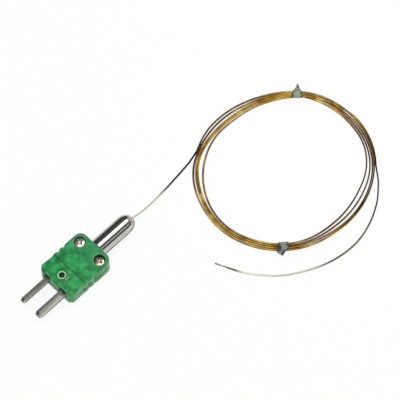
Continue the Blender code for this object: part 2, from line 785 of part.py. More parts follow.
def make_tube(steel, resin):
    """The polished strain-relief tube, turned from one piece, and the resin that fills it."""
    wall = TUBE_RADIUS - TUBE_BORE
    wire_hole = WIRE_RADIUS + CLEARANCE
    straight_x = TUBE_FACE_X + TUBE_STRAIGHT
    taper_length = TUBE_LENGTH - TUBE_STRAIGHT
    flange_x = FRONT_X + FLANGE_FROM_FRONT
    flange_end_x = flange_x + FLANGE_THICKNESS
    outside = [
        (flange_x - SPIGOT_LEAD, SPIGOT_BORE),
        (flange_x - SPIGOT_LEAD, SPIGOT_RADIUS),
        (flange_x, SPIGOT_RADIUS),
        (flange_x, FLANGE_RADIUS),
        (flange_end_x, FLANGE_RADIUS),
        (flange_end_x, SPIGOT_RADIUS),
        (TUBE_FACE_X, SPIGOT_RADIUS),
        (TUBE_FACE_X, TUBE_RADIUS),
        (straight_x, TUBE_RADIUS),
    ]
    for share, radius in tube_taper():
        outside.append((straight_x + share * taper_length, radius))
    inside = [
        (TUBE_TIP_X, wire_hole),
        (TUBE_TIP_X - TUBE_TIP_WALL, wire_hole),
        (straight_x + taper_length / 3, TUBE_BORE - wall / 2),
        (straight_x, TUBE_BORE),
        (TUBE_FACE_X + TUBE_SHOULDER, TUBE_BORE),
        (TUBE_FACE_X + TUBE_SHOULDER, SPIGOT_BORE),
    ]
    tube = turned(outside + inside, along_x(0, 0, SPLIT_Z), 48, closed=True)
    add_object("relief_tube", tube, steel, math.radians(25))
    radius = TUBE_BORE - CLEARANCE
    potting = cylinder(radius, (POTTING_START_X, 0, SPLIT_Z), (POTTING_END_X, 0, SPLIT_Z))
    add_object("relief_potting", potting, resin)


def coil_pinch(angle):
    """0 at each tie and 1 half-way between the two ties."""
    turn = (angle - TIE_TOP_ANGLE) % math.tau
    bottom = (TIE_BOTTOM_ANGLE - TIE_TOP_ANGLE) % math.tau
    if turn < bottom:
        return math.sin(math.pi * turn / bottom)
    return math.sin(math.pi * (turn - bottom) / (math.tau - bottom))


def coil_radius(angle):
    from_bulge = abs((angle - COIL_BULGE_ANGLE + math.pi) % math.tau - math.pi)
    bulge = COIL_BULGE * (1 + math.cos(math.pi * min(1, from_bulge / COIL_BULGE_REACH))) / 2
    return COIL_RADIUS + COIL_OVAL * math.cos(2 * (angle - COIL_OVAL_ANGLE)) + bulge


def coil_point(angle, outward, z):
    """A point beside the loop's centre line, at a distance outward from it."""
    radius = coil_radius(angle) + outward
    x = COIL_CENTRE.x + radius * math.cos(angle)
    y = COIL_CENTRE.y + radius * math.sin(angle)
    return Vector((x, y, z))


def make_coil(insulation):
    """The outer shape of the coiled turns, raised at the ties and sagging to the table between them."""
    sections = []
    for step in range(COIL_STEPS):
        angle = math.tau * step / COIL_STEPS
        width = COIL_TIED_WIDTH + (COIL_WIDTH - COIL_TIED_WIDTH) * coil_pinch(angle)
        middle_z = COIL_MIDDLE_Z - COIL_SAG * coil_pinch(angle) ** 2
        section = []
        for corner in range(COIL_SECTION_STEPS):
            around = math.tau * (corner + 0.5) / COIL_SECTION_STEPS
            reach = math.cos(math.pi / COIL_SECTION_STEPS)
            outward = width / 2 * math.cos(around) / reach
            z = middle_z + COIL_HEIGHT / 2 * math.sin(around) / reach
            section.append(coil_point(angle, outward, z))
        sections.append(section)
    add_object("wire_coil", loft(sections, closed=True), insulation)


def rounded_share(value):
    """Turns a sine or cosine into its share on a loop between a circle and a rectangle."""
    return math.copysign(abs(value) ** TIE_LOOP_ROUNDNESS, value)


def make_tie(name, angle, lean, material):
    """A flat band round the bundle of turns, with its ends twisted into a short tail."""
    middle = coil_point(angle, 0, COIL_MIDDLE_Z)
    step_angle = math.tau / COIL_STEPS
    along = (coil_point(angle + step_angle, 0, 0) - coil_point(angle - step_angle, 0, 0)).normalized()
    outward = along.cross(Vector((0, 0, 1)))
    inner_reach = COIL_TIED_WIDTH / 2 + CLEARANCE
    inner_rise = COIL_HEIGHT / 2 + CLEARANCE
    band = []
    for step in range(TIE_LOOP_STEPS):
        around = math.tau * step / TIE_LOOP_STEPS
        section = []
        for depth, side in ((0, -1), (0, 1), (TIE_THICKNESS, 1), (TIE_THICKNESS, -1)):
            reach = (inner_reach + depth) * rounded_share(math.cos(around))
            rise = (inner_rise + depth) * rounded_share(math.sin(around))
            edge = along * (side * TIE_WIDTH / 2)
            section.append(middle + outward * reach + Vector((0, 0, rise)) + edge)
        band.append(section)
    tie = add_object(name, loft(band, closed=True), material)
    direction = (outward + lean).normalized()
    start = middle + outward * (inner_reach + TIE_THICKNESS / 2)
    across = direction.cross(Vector((0, 0, 1))).normalized()
    upward = across.cross(direction)
    tail = []
    for step in range(TIE_TAIL_STEPS + 1):
        share = step / TIE_TAIL_STEPS
        turn = math.tau * TIE_TAIL_TURNS * share
        wide = across * math.cos(turn) + upward * math.sin(turn)
        thick = upward * math.cos(turn) - across * math.sin(turn)
        width = TIE_TAIL_WIDTH * (1 + (TIE_TAIL_TIP_SHARE - 1) * share)
        corners = chamfered_rectangle(width / 2, TIE_TAIL_THICKNESS / 2, TIE_TAIL_CHAMFER)
        centre = start + direction * (TIE_TAIL_LENGTH * share)
        tail.append([centre + wide * a + thick * b for a, b in corners])
    add_boolean(tie, "twisted_tail", loft(tail), "UNION")


def make_junction(bare_metal):
    """The bare ends of the two conductors, welded into a bead."""
    end = Vector(TAIL_ROUTE[-1])
    direction = (end - Vector(TAIL_ROUTE[-2])).normalized()
    start = end + direction * CLEARANCE
    start.z = max(end.z, JUNCTION_BEAD_RADIUS)
    place = Matrix.Translation(start) @ direction.to_track_quat("Z", "Y").to_matrix().to_4x4()
    bead_centre = JUNCTION_LENGTH - JUNCTION_BEAD_RADIUS
    profile = [(0, 0), (0, JUNCTION_WIRE_RADIUS)]
    for step in range(2, JUNCTION_BEAD_STEPS):
        angle = math.pi * (1 - step / JUNCTION_BEAD_STEPS)
        along = bead_centre + JUNCTION_BEAD_RADIUS * math.cos(angle)
        profile.append((along, JUNCTION_BEAD_RADIUS * math.sin(angle)))
    profile.append((JUNCTION_LENGTH, 0))
    add_object("junction_bead", turned(profile, place, 12), bare_metal)


def main():
    clear_scene()
    plastic = make_material("green_moulded_plastic", (0.030, 0.290, 0.085), 0.45)
    alloy = make_material("pin_alloy", (0.50, 0.49, 0.46), 0.30, 1.0)
    plated_steel = make_material("nickel_plated_steel", (0.62, 0.60, 0.55), 0.25, 1.0)
    brass = make_material("brass", (0.60, 0.42, 0.16), 0.35, 1.0)
    steel = make_material("polished_steel", (0.65, 0.63, 0.62), 0.10, 1.0)
    resin = make_material("potting_resin", (0.03, 0.03, 0.03), 0.50)
    conductor = make_material("bare_conductor", (0.38, 0.33, 0.30), 0.35, 1.0)
    insulation = make_material("amber_film_insulation", (0.42, 0.21, 0.03), 0.25)
    paper = make_material("grey_green_tie", (0.16, 0.27, 0.22), 0.60)

    make_base(plastic)
    make_lid(plastic)
    make_pins(alloy)
    make_terminals(plated_steel, conductor)
    make_lid_screws(plated_steel, brass)
    make_tube(steel, resin)

    lead = smooth_route(LEAD_ROUTE, WIRE_POINT_SPACING)
    add_tube("lead_wire", lead, WIRE_RADIUS, insulation)
    make_coil(insulation)
    tail = smooth_route(TAIL_ROUTE, WIRE_POINT_SPACING)
    add_tube("tail_wire", tail, WIRE_RADIUS, insulation)
    make_junction(conductor)
    make_tie("tie_top", TIE_TOP_ANGLE, TIE_TOP_LEAN, paper)
    make_tie("tie_bottom", TIE_BOTTOM_ANGLE, TIE_BOTTOM_LEAN, paper)


main()
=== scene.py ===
import math
from functools import partial
import bmesh
import bpy
import numpy as np
from mathutils import Matrix, Vector


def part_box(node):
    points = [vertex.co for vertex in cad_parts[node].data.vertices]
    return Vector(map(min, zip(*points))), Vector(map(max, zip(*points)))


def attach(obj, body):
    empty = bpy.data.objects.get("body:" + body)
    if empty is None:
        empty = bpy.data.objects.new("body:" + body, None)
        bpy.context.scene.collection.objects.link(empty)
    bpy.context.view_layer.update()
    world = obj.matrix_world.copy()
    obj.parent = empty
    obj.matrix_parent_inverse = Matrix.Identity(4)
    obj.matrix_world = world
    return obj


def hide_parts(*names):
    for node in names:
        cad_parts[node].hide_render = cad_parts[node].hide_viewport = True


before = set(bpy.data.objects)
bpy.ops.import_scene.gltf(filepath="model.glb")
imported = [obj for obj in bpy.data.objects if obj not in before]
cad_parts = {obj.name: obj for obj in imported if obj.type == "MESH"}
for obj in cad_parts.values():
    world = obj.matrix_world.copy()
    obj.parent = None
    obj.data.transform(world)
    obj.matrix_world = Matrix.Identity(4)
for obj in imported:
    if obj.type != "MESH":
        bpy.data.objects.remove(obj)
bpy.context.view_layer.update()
root = "root"
mm = 0.001

# The view of the photograph: a long lens, looking down on the table from beyond the pins
camera = {
    "azimuth": -45.26,      # degrees round the part, 0 looks along +Y
    "elevation": 63.14,     # degrees above the table
    "distance": 0.7007,
    "target": (0.0522, -0.01102, 0.0),
    "lens": 171.15,
    "sensor": 36.0,
}


def linkObject(name, data):
    made = bpy.data.objects.new(name, data)
    bpy.context.scene.collection.objects.link(made)
    return made


def makeCamera():
    azimuth = math.radians(camera["azimuth"])
    elevation = math.radians(camera["elevation"])
    back = Vector((
        math.sin(azimuth) * math.cos(elevation),
        -math.cos(azimuth) * math.cos(elevation),
        math.sin(elevation),
    ))
    data = bpy.data.cameras.new("camera")
    data.lens = camera["lens"]
    data.sensor_width = camera["sensor"]
    data.clip_start = 0.01
    data.clip_end = 20.0
    data.dof.use_dof = False
    cam = linkObject("camera", data)
    cam.location = Vector(camera["target"]) + back * camera["distance"]
    cam.rotation_mode = "QUATERNION"
    cam.rotation_quaternion = (-back).to_track_quat("-Z", "Y")
    bpy.context.scene.camera = cam
    print("camera placed")


# Colours and materials: hex values are sRGB

def colour(hexValue):
    channels = [int(hexValue[i:i + 2], 16) / 255 for i in (0, 2, 4)]
    linear = [c / 12.92 if c <= 0.04045 else ((c + 0.055) / 1.055) ** 2.4 for c in channels]
    return (*linear, 1.0)


# Settings that many nodes share. Sockets go by name or number: a soft Map Range takes its value from 1
# to 2 over to 3 to 4, which are 0 to 1 if left out, and a blend goes from colour 6 to colour 7
soft = {"interpolation_type": "SMOOTHSTEP"}
blend = {"data_type": "RGBA"}
times = {"operation": "MULTIPLY"}


def feed(node, inputs):
    # An input is given a plain value, a hex colour, a socket, or a node by its first live output
    for key, value in inputs.items():
        if isinstance(value, str):
            value = colour(value)
        if isinstance(value, bpy.types.Node):
            value = next(socket for socket in value.outputs if socket.enabled)
        if isinstance(value, bpy.types.NodeSocket):
            node.id_data.links.new(value, node.inputs[key])
        else:
            node.inputs[key].default_value = value


def addNode(tree, kind, inputs=None, stops=(), **settings):
    # One node with its own settings, what feeds it and, on a ramp, its stops of place and colour
    node = tree.nodes.new("ShaderNode" + kind)
    for key, value in settings.items():
        setattr(node, key, value)
    while stops and len(node.color_ramp.elements) < len(stops):
        node.color_ramp.elements.new(0.5)
    for index, (position, value) in enumerate(stops):
        node.color_ramp.elements[index].position = position
        node.color_ramp.elements[index].color = colour(value)
    feed(node, inputs or {})
    return node


def newMaterial(name, base, rough, metallic=0.0):
    # The material, addNode as it is called for this material's tree, and its shader
    material = bpy.data.materials.new(name)
    material.use_nodes = True
    shader = material.node_tree.nodes["Principled BSDF"]
    feed(shader, {"Base Color": base, "Roughness": rough, "Metallic": metallic})
    return material, partial(addNode, material.node_tree), shader


def band(add, value, low, high, edge):
    # 1 between low and high and 0 outside, with soft borders
    rise = add("MapRange", {0: value, 1: low - edge, 2: low + edge}, **soft)
    fall = add("MapRange", {0: value, 1: high - edge, 2: high + edge, 3: 1.0, 4: 0.0}, **soft)
    return add("Math", {0: rise, 1: fall}, **times)


def distanceFrom(add, axes, centre):
    # How far a point is from an upright line, in mm
    flat = add("CombineXYZ", {"X": axes["X"], "Y": axes["Y"]})
    away = add("VectorMath", {0: flat, 1: (*centre, 0.0)}, operation="DISTANCE")
    return add("Math", {0: away, 1: mm}, operation="DIVIDE")


# Where the housing's plastic is painted: painted shade in its hollows and painted highlights on its rims
lidPaintedLight = {
    "ring": (-6.7 * mm, 0.0),
    "well": (1.00, 1.12),       # painted shade in the ring's hole: mm from the ring's middle, over the edge of its hole
    # painted highlight on the ring's rim, in mm from its middle
    "rim": (1.20, 1.60),
    # painted shade in a ring round the ring
    "paintedShadeRing": (1.60, 2.40),
    "screws": ((7.0 * mm, 5.1 * mm), (7.0 * mm, -5.1 * mm)),
    "paintedBoreShade": (2.26, 2.38),   # mm from a screw's middle, inside which the bore wall has painted shade
    # painted highlight on a bore's rim
    "paintedBoreHighlight": (2.22, 2.48),
    # painted shade along the groove
    "groove": (-3.22 * mm, -2.78 * mm),
    "rear": (0.5 * mm, 9.5 * mm),       # over this length the plastic turns bluer
    "paintedShadeBelow": (7.2 * mm, 7.7 * mm),      # heights, under which a bore has painted shade
    "top": (7.4 * mm, 7.95 * mm),       # and over which the rims get their painted highlights and the groove its painted shade
}


def housingPlastic():
    # Filled nylon from a spark-eroded mould, matte green with a cloudy flow in it. It looks soft and
    # a little bluer towards the tube. Painted highlights make the rims of the ring and of the screw bores
    # pale, and painted shade darkens a ring round the ring, its hole, the groove and the bore walls. The
    # mould's grain of about 0.02 mm is drawn at 0.10 mm, or it wouldn't show
    material, add, shader = newMaterial("mouldedGreenNylon", "2A8F4A", 0.5)
    place = add("TexCoord").outputs["Object"]
    axes = add("SeparateXYZ", {0: place}).outputs
    cloud = add("TexNoise", {"Vector": place, "Scale": 1 / (2.4 * mm), "Detail": 4.0})
    flow = ((0.34, "046E2E"), (0.48, "0C8E44"), (0.60, "20A454"), (0.72, "46B067"))
    green = add("ValToRGB", {0: cloud}, flow)
    start, end = lidPaintedLight["rear"]
    rear = add("MapRange", {0: axes["X"], 1: start, 2: end, 4: 0.55}, **soft)
    green = add("Mix", {0: rear, 6: green, 7: "248A58"}, **blend)
    low, high = lidPaintedLight["top"]
    top = add("MapRange", {0: axes["Z"], 1: low, 2: high}, **soft)
    low, high = lidPaintedLight["paintedShadeBelow"]
    paintedShadeBelow = add("MapRange", {0: axes["Z"], 1: low, 2: high, 3: 1.0, 4: 0.0}, **soft)
    away = distanceFrom(add, axes, lidPaintedLight["ring"])
    rim = band(add, away, *lidPaintedLight["rim"], 0.08)
    low, high = lidPaintedLight["well"]
    well = add("MapRange", {0: away, 1: low, 2: high, 3: 1.0, 4: 0.0}, **soft)
    groove = band(add, axes["X"], *lidPaintedLight["groove"], 0.12 * mm)
    # where each painted highlight and painted shade is, how strong it is and its colour
    marks = [
        # painted shade in a ring round the ring
        (band(add, away, *lidPaintedLight["paintedShadeRing"], 0.25), 0.55, "0A5526"),
        # painted highlight on the ring's rim
        (add("Math", {0: rim, 1: top}, **times), 0.85, "B6E4BC"),
        # painted shade in the ring's hole
        (well, 1.0, "065220"),
        # painted shade along the groove on top
        (add("Math", {0: groove, 1: top}, **times), 0.75, "05401C"),
    ]
    low, high = lidPaintedLight["paintedBoreShade"]
    for centre in lidPaintedLight["screws"]:
        bore = distanceFrom(add, axes, centre)
        edge = band(add, bore, *lidPaintedLight["paintedBoreHighlight"], 0.12)
        inside = add("MapRange", {0: bore, 1: low, 2: high, 3: 1.0, 4: 0.0}, **soft)
        # painted highlight on each bore's rim, and painted shade down its wall
        marks.append((add("Math", {0: edge, 1: top}, **times), 0.45, "96C8A2"))
        marks.append((add("Math", {0: inside, 1: paintedShadeBelow}, **times), 1.0, "08301A"))
    for mask, strength, shade in marks:
        share = add("Math", {0: mask, 1: strength}, **times)
        green = add("Mix", {0: share, 6: green, 7: shade}, **blend)
    grain = add("TexNoise", {"Vector": place, "Scale": 1 / (0.10 * mm), "Detail": 3.0})
    feed(shader, {
        "Base Color": green,
        "Specular IOR Level": 0.32,
        "Sheen Weight": 0.6,
        "Sheen Roughness": 0.45,
        "Roughness": add("MapRange", {0: grain, 1: 0.3, 2: 0.7, 3: 0.42, 4: 0.62}, **soft),
        "Normal": add("Bump", {"Height": grain, "Distance": 0.012 * mm}),
    })
    return material


def bladeAlloy(name, base, dark, stain):
    # Thermocouple alloy strip, rolled and then stamped: satin, with fine streaks along the blade and a
    # faint heat stain. It gives a soft stretched gloss, not a mirror. The streaks are drawn some ten
    # times coarser than the real ones
    material, add, shader = newMaterial(name, base, 0.38, 1.0)
    place = add("TexCoord").outputs["Object"]
    drawn = add("Mapping", {"Vector": place, "Scale": (1 / 60, 1, 1)})
    streaks = add("TexNoise", {"Vector": drawn, "Scale": 1 / (0.16 * mm), "Detail": 3.0})
    rolled = add("Mapping", {"Vector": place, "Scale": (1 / 14, 1, 1)})
    bands = add("TexNoise", {"Vector": rolled, "Scale": 1 / (0.9 * mm), "Detail": 1.0})
    clouds = add("TexNoise", {"Vector": place, "Scale": 1 / (3.0 * mm), "Detail": 2.0})
    fine = add("MapRange", {0: streaks, 1: 0.35, 2: 0.65}, **soft)
    broad = add("MapRange", {0: bands, 1: 0.42, 2: 0.62, 4: 0.35}, **soft)
    heated = add("MapRange", {0: clouds, 1: 0.5, 2: 0.75, 4: 0.5}, **soft)
    tone = add("Mix", {0: fine, 6: dark, 7: base}, **blend)
    tone = add("Mix", {0: broad, 6: tone, 7: dark}, **blend)
    feed(shader, {
        "Base Color": add("Mix", {0: heated, 6: tone, 7: stain}, **blend),
        "Roughness": add("MapRange", {0: streaks, 1: 0.3, 2: 0.7, 3: 0.30, 4: 0.46}, **soft),
        "Normal": add("Bump", {"Height": streaks, "Distance": 0.006 * mm}),
    })
    return material


# The cross recess of a lid screw, which is painted dark as shade
recess = {
    "reach": (0.5, 1.25),       # mm from the middle
    "depth": (0.50 * mm, 0.28 * mm),
    "recessShade": 0.55,             # how dark its painted shade is
}


def platedSteel(name, bright, dull, node):
    # Bright nickel on a cold-headed steel screw: shiny with fine scratches, a faint yellow bloom and
    # painted shade in the cross recess. The scratches are drawn coarser than they are
    material, add, shader = newMaterial(name, bright, 0.2, 1.0)
    place = add("TexCoord").outputs["Object"]
    axes = add("SeparateXYZ", {0: place}).outputs
    low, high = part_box(node)
    away = distanceFrom(add, axes, ((low.x + high.x) / 2, (low.y + high.y) / 2))
    within = band(add, away, *recess["reach"], 0.12)
    foot, brim = (high.z - depth for depth in recess["depth"])
    paintedShadeBelow = add("MapRange", {0: axes["Z"], 1: foot, 2: brim, 3: 1.0, 4: 0.0}, **soft)
    hollow = add("Math", {0: within, 1: paintedShadeBelow}, **times)
    # painted shade in the cross recess
    recessShade = add("Math", {0: hollow, 1: recess["recessShade"]}, **times)
    drawn = add("Mapping", {"Vector": place, "Scale": (1, 1 / 14, 1)})
    scratches = add("TexNoise", {"Vector": drawn, "Scale": 1 / (0.05 * mm), "Detail": 2.0})
    bloom = add("TexNoise", {"Vector": place, "Scale": 1 / (0.8 * mm), "Detail": 3.0})
    bloomed = add("MapRange", {0: bloom, 1: 0.45, 2: 0.7}, **soft)
    tone = add("Mix", {0: bloomed, 6: bright, 7: dull}, **blend)
    feed(shader, {
        "Base Color": add("Mix", {0: recessShade, 6: tone, 7: "141210"}, **blend),
        "Roughness": add("MapRange", {0: scratches, 1: 0.3, 2: 0.7, 3: 0.14, 4: 0.30}, **soft),
        "Normal": add("Bump", {"Height": scratches, "Distance": 0.002 * mm}),
    })
    return material


def bareConductor():
    # Drawn thermocouple wire with a thin oxide: grey-brown, dull, with draw marks along it
    material, add, shader = newMaterial("drawnAlloyWire", "7C7470", 0.42, 0.85)
    place = add("TexCoord").outputs["Object"]
    marks = add("TexNoise", {"Vector": place, "Scale": 1 / (0.25 * mm), "Detail": 3.0})
    oxide = ((0.35, "4E464A"), (0.52, "787072"), (0.70, "A29C98"))
    feed(shader, {
        "Base Color": add("ValToRGB", {0: marks}, oxide),
        "Normal": add("Bump", {"Height": marks, "Distance": 0.01 * mm}),
    })
    return material


def insertBrass():
    # Turned brass: yellow, with fine rings from the cutting tool
    material, add, shader = newMaterial("turnedBrass", "C8A24C", 0.3, 1.0)
    place = add("TexCoord").outputs["Object"]
    turned = add("Mapping", {"Vector": place, "Scale": (1 / 40, 1 / 40, 1)})
    rings = add("TexNoise", {"Vector": turned, "Scale": 1 / (0.06 * mm), "Detail": 1.0})
    feed(shader, {
        "Base Color": add("ValToRGB", {0: rings}, ((0.35, "9A7830"), (0.65, "D2AE5C"))),
        "Normal": add("Bump", {"Height": rings, "Distance": 0.004 * mm}),
    })
    return material


def polishedSteel():
    # Stainless tube, polished on a wheel: a near mirror with faint rings round it and light handling
    # marks, so it shows the studio as long bright and dark bands. The rings are drawn coarser too
    material, add, shader = newMaterial("polishedStainless", "D2CFCB", 0.1, 1.0)
    place = add("TexCoord").outputs["Object"]
    turned = add("Mapping", {"Vector": place, "Scale": (1, 1 / 60, 1 / 60)})
    rings = add("TexNoise", {"Vector": turned, "Scale": 1 / (0.05 * mm), "Detail": 2.0})
    smudges = add("TexNoise", {"Vector": place, "Scale": 1 / (2.2 * mm), "Detail": 4.0})
    handled = add("MapRange", {0: smudges, 1: 0.5, 2: 0.75}, **soft)
    feed(shader, {
        "Base Color": add("Mix", {0: handled, 6: "D4D1CE", 7: "B4AEA4"}, **blend),
        "Roughness": add("MapRange", {0: smudges, 1: 0.35, 2: 0.7, 3: 0.07, 4: 0.17}, **soft),
        "Normal": add("Bump", {"Height": rings, "Distance": 0.0006 * mm}),
    })
    return material


def pottingResin():
    # Cast black epoxy: glossy, with a slightly rippled skin
    material, add, shader = newMaterial("castBlackEpoxy", "15130F", 0.18)
    place = add("TexCoord").outputs["Object"]
    ripple = add("TexNoise", {"Vector": place, "Scale": 1 / (0.5 * mm), "Detail": 2.0})
    feed(shader, {
        "Base Color": add("ValToRGB", {0: ripple}, ((0.3, "0E0D0B"), (0.7, "211D17"))),
        "Normal": add("Bump", {"Height": ripple, "Distance": 0.03 * mm}),
    })
    return material


def newObject(name, bm, material):
    # The object sits at the origin, its place is in its mesh
    mesh = bpy.data.meshes.new(name)
    bm.to_mesh(mesh)
    bm.free()
    mesh.materials.append(material)
    return linkObject(name, mesh)


def finishPiece(name, bm, material, nodes=(), smoothAngle=35):
    piece = newObject(name, bm, material)
    piece.data.shade_smooth()
    piece.data.set_sharp_from_angle(angle=math.radians(smoothAngle))
    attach(piece, root)
    if nodes:
        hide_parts(*nodes)
    return piece


def sweep(bm, path, outline, turns=None):
    # Carries an outline of (side, up) points along a path and closes both ends. The UVs are the
    # distance along the path in metres and the share of the way around
    uv = bm.loops.layers.uv.verify()
    firstFace = len(bm.faces)
    ring = None
    travelled = 0.0
    marks = []
    for index, point in enumerate(path):
        if index:
            travelled += (point - path[index - 1]).length
        ahead = path[min(index + 1, len(path) - 1)] - path[max(index - 1, 0)]
        ahead.normalize()
        side = ahead.cross(Vector((0, 0, 1))).normalized()
        up = side.cross(ahead)
        turn = turns[index] if turns else 0.0
        wide = side * math.cos(turn) + up * math.sin(turn)
        high = up * math.cos(turn) - side * math.sin(turn)
        if ring is None:
            verts = [bm.verts.new(point + wide * a + high * b) for a, b in outline]
            edges = [bm.edges.new((verts[i], verts[i - 1])) for i in range(len(verts))]
            bmesh.ops.contextual_create(bm, geom=edges)
        else:
            made = bmesh.ops.extrude_edge_only(bm, edges=ring[1])["geom"]
            grown = {item for item in made if isinstance(item, bmesh.types.BMVert)}
            verts = []
            for vert in ring[0]:
                others = (edge.other_vert(vert) for edge in vert.link_edges)
                verts.append(next(other for other in others if other in grown))
            edges = []
            for i in range(len(verts)):
                pair = {verts[i], verts[i - 1]}
                edges.append(next(e for e in verts[i].link_edges if set(e.verts) == pair))
            for vert, (a, b) in zip(verts, outline):
                vert.co = point + wide * a + high * b
        ring = (verts, edges)
        marks.append((verts, travelled))
    bmesh.ops.contextual_create(bm, geom=ring[1])
    place = {}
    for verts, distance in marks:
        for index, vert in enumerate(verts):
            place[vert] = (distance, index / len(outline))
    bm.faces.ensure_lookup_table()
    for face in bm.faces[firstFace:]:
        around = [place[loop.vert][1] for loop in face.loops]
        wraps = max(around) - min(around) > 0.5
        for loop in face.loops:
            distance, share = place[loop.vert]
            if wraps and share == 0:
                share = 1.0
            loop[uv].uv = (distance, share)
    bmesh.ops.recalc_face_normals(bm, faces=bm.faces)


def smoothRoute(points, spacing):
    # Evenly spaced points on a smooth curve through the given ones
    points = [Vector(point) for point in points]
    padded = [2 * points[0] - points[1], *points, 2 * points[-1] - points[-2]]
    fine = []
    for a, b, c, d in zip(padded, padded[1:], padded[2:], padded[3:]):
        for step in range(10):
            t = step / 10
            fine.append(0.5 * (2 * b + (c - a) * t + (2 * a - 5 * b + 4 * c - d) * t**2
                               + (3 * b - a - 3 * c + d) * t**3))
    fine.append(points[-1])
    lengths = [0.0]
    for a, b in zip(fine, fine[1:]):
        lengths.append(lengths[-1] + (b - a).length)
    count = round(lengths[-1] / spacing)
    even = []
    index = 0
    for step in range(count + 1):
        wanted = lengths[-1] * step / count
        while index < len(fine) - 2 and lengths[index + 1] < wanted:
            index += 1
        share = (wanted - lengths[index]) / (lengths[index + 1] - lengths[index])
        even.append(fine[index].lerp(fine[index + 1], share))
    return even, lengths[-1]


# The probe wire: one twin wire in amber film, from inside the tube to the bare tip
wire = {
    "width": 0.74 * mm,
    "height": 0.62 * mm,
    "waist": 0.90,              # how far the film dips between the two conductors
    "ringPoints": 12,
    "spacing": 1.1 * mm,
    "flatAngle": 125,           # place on the loop where the twin lies flat, half a twist in each lap
    "flatReach": 0.45,          # how much of the lap stays nearly flat
    "lead": [
        (0.026, 0.0, 0.004), (0.028, 0.0, 0.004), (0.0301, -0.0004, 0.00395),
        (0.032, -0.0005, 0.0037), (0.035, -0.0004, 0.0031), (0.0392, 0.0, 0.0021),
        (0.0442, 0.0007, 0.0011), (0.0477, 0.0011, 0.0006), (0.0512, 0.0016, 0.00037),
        (0.0542, 0.0019, 0.00031), (0.0572, 0.0023, 0.00032), (0.0597, 0.0026, 0.00042),
        (0.0614, 0.0029, 0.00055),
    ],
    "tail": [
        (0.1046, -0.0519, 0.00065), (0.103, -0.0535, 0.00042), (0.1003, -0.0558, 0.00032),
        (0.098, -0.0576, 0.0003), (0.0954, -0.0591, 0.0003), (0.092, -0.0608, 0.0003),
        (0.087, -0.0626, 0.0003), (0.0818, -0.0637, 0.0003), (0.0785, -0.0639, 0.0003),
        (0.0744, -0.0637, 0.0003), (0.0694, -0.0628, 0.0003), (0.0663, -0.0619, 0.0003),
        (0.0633, -0.0608, 0.0003), (0.0588, -0.0586, 0.0003), (0.0566, -0.0573, 0.0003),
        (0.0533, -0.0552, 0.0003), (0.0497, -0.0523, 0.0003), (0.0471, -0.0494, 0.0003),
        (0.044, -0.0456, 0.0003), (0.0417, -0.042, 0.0003), (0.0403, -0.039, 0.0003),
    ],
}

# The loop: how far outside its middle line each strand runs, in mm, at a few angles and in each tie
coil = {
    "centre": (0.08345, -0.02417),
    "radius": 31.9 * mm,
    "oval": 1.9 * mm,
    "ovalAngle": -5,
    "bulge": 0.7 * mm,          # the loop is pulled outward near its bottom tie
    "bulgeAngle": -130,
    "bulgeReach": 35,
    "topTie": 35,
    "bottomTie": -137,
    "joinAngle": 122,
    "joinLane": 1.75,
    "leaveAngle": -45,
    "leaveLane": 1.7,
    "stepAngle": 3,
    "plugSideAngles": (205, 180, 165, 150, 130, 118, 106, 90, 78, 64, 50),
    "farSideAngles": (20, 5, -10, -25, -45, -65, -90, -112),
    "joinLanes": (2.5, 2.15, 1.75, 1.25, 0.95),     # at the last plug side angles
    "leaveLanes": (-0.8, 0.0, 0.9, 1.25),           # at the first far side angles
    "turns": (
        # lane in the top tie, far side, lane in the bottom tie, plug side
        (0.8, (1.05, 0.6, 0.4, 0.6, 1.15, 1.55, 1.9, 1.75), 1.3,
         (1.3, 0.85, 0.55, 1.15, 1.75, 1.25, 1.2, 1.0, 0.55, 0.35, 0.25)),
        (0.3, (0.4, -0.6, -0.6, -0.1, 0.5, 1.0, 1.35, 0.75), 0.6,
         (0.35, 0.05, -0.25, -0.1, 0.95, 0.5, 0.0, -0.45, -0.5, -0.4, -0.45)),
        (-0.15, (-0.3, -1.4, -1.5, -0.9, -0.4, -0.5, -0.15, -0.1), -0.2,
         (-0.5, -0.65, -0.95, -0.75, 0.25, -0.1, -0.8, -1.2, -1.2, -1.1, -1.2)),
        (-0.6, (-1.5, -2.2, -2.4, -1.75, -1.75, -2.35, -1.6, -1.1), -1.0,
         (-1.25, -1.45, -1.95, -2.25, -2.1, -1.85, -1.6, -2.3, -2.2, -1.95, -1.95)),
    ),
    "lastTopLane": -1.1,
    "tieLift": 0.28 * mm,       # the band under the strands
    "tieHalf": 4,               # degrees on each side of a tie's middle where it lifts them fully
    "liftReach": 20,            # degrees beyond that before the strands are down again
}

# How the strands settle on each other, in small moves that are the same in each run
settling = {
    "moves": 400,
    "pull": 0.15,               # share of the way back to its own lane in one move
    "sink": 0.02 * mm,          # in one move
    "push": 0.4,                # share of an overlap that each strand gives way in one move
    "keepRoute": 0.5,           # what a point keeps of itself when its neighbours draw it straight
    "keepStrand": 0.6,
    "gap": 0.86,                # between the middles of two strands, as a share of the wire's width
    "clear": 0.06 * mm,         # under the lowest strand
    "heap": 1.2 * mm,           # how high above the first lap the last one starts
}


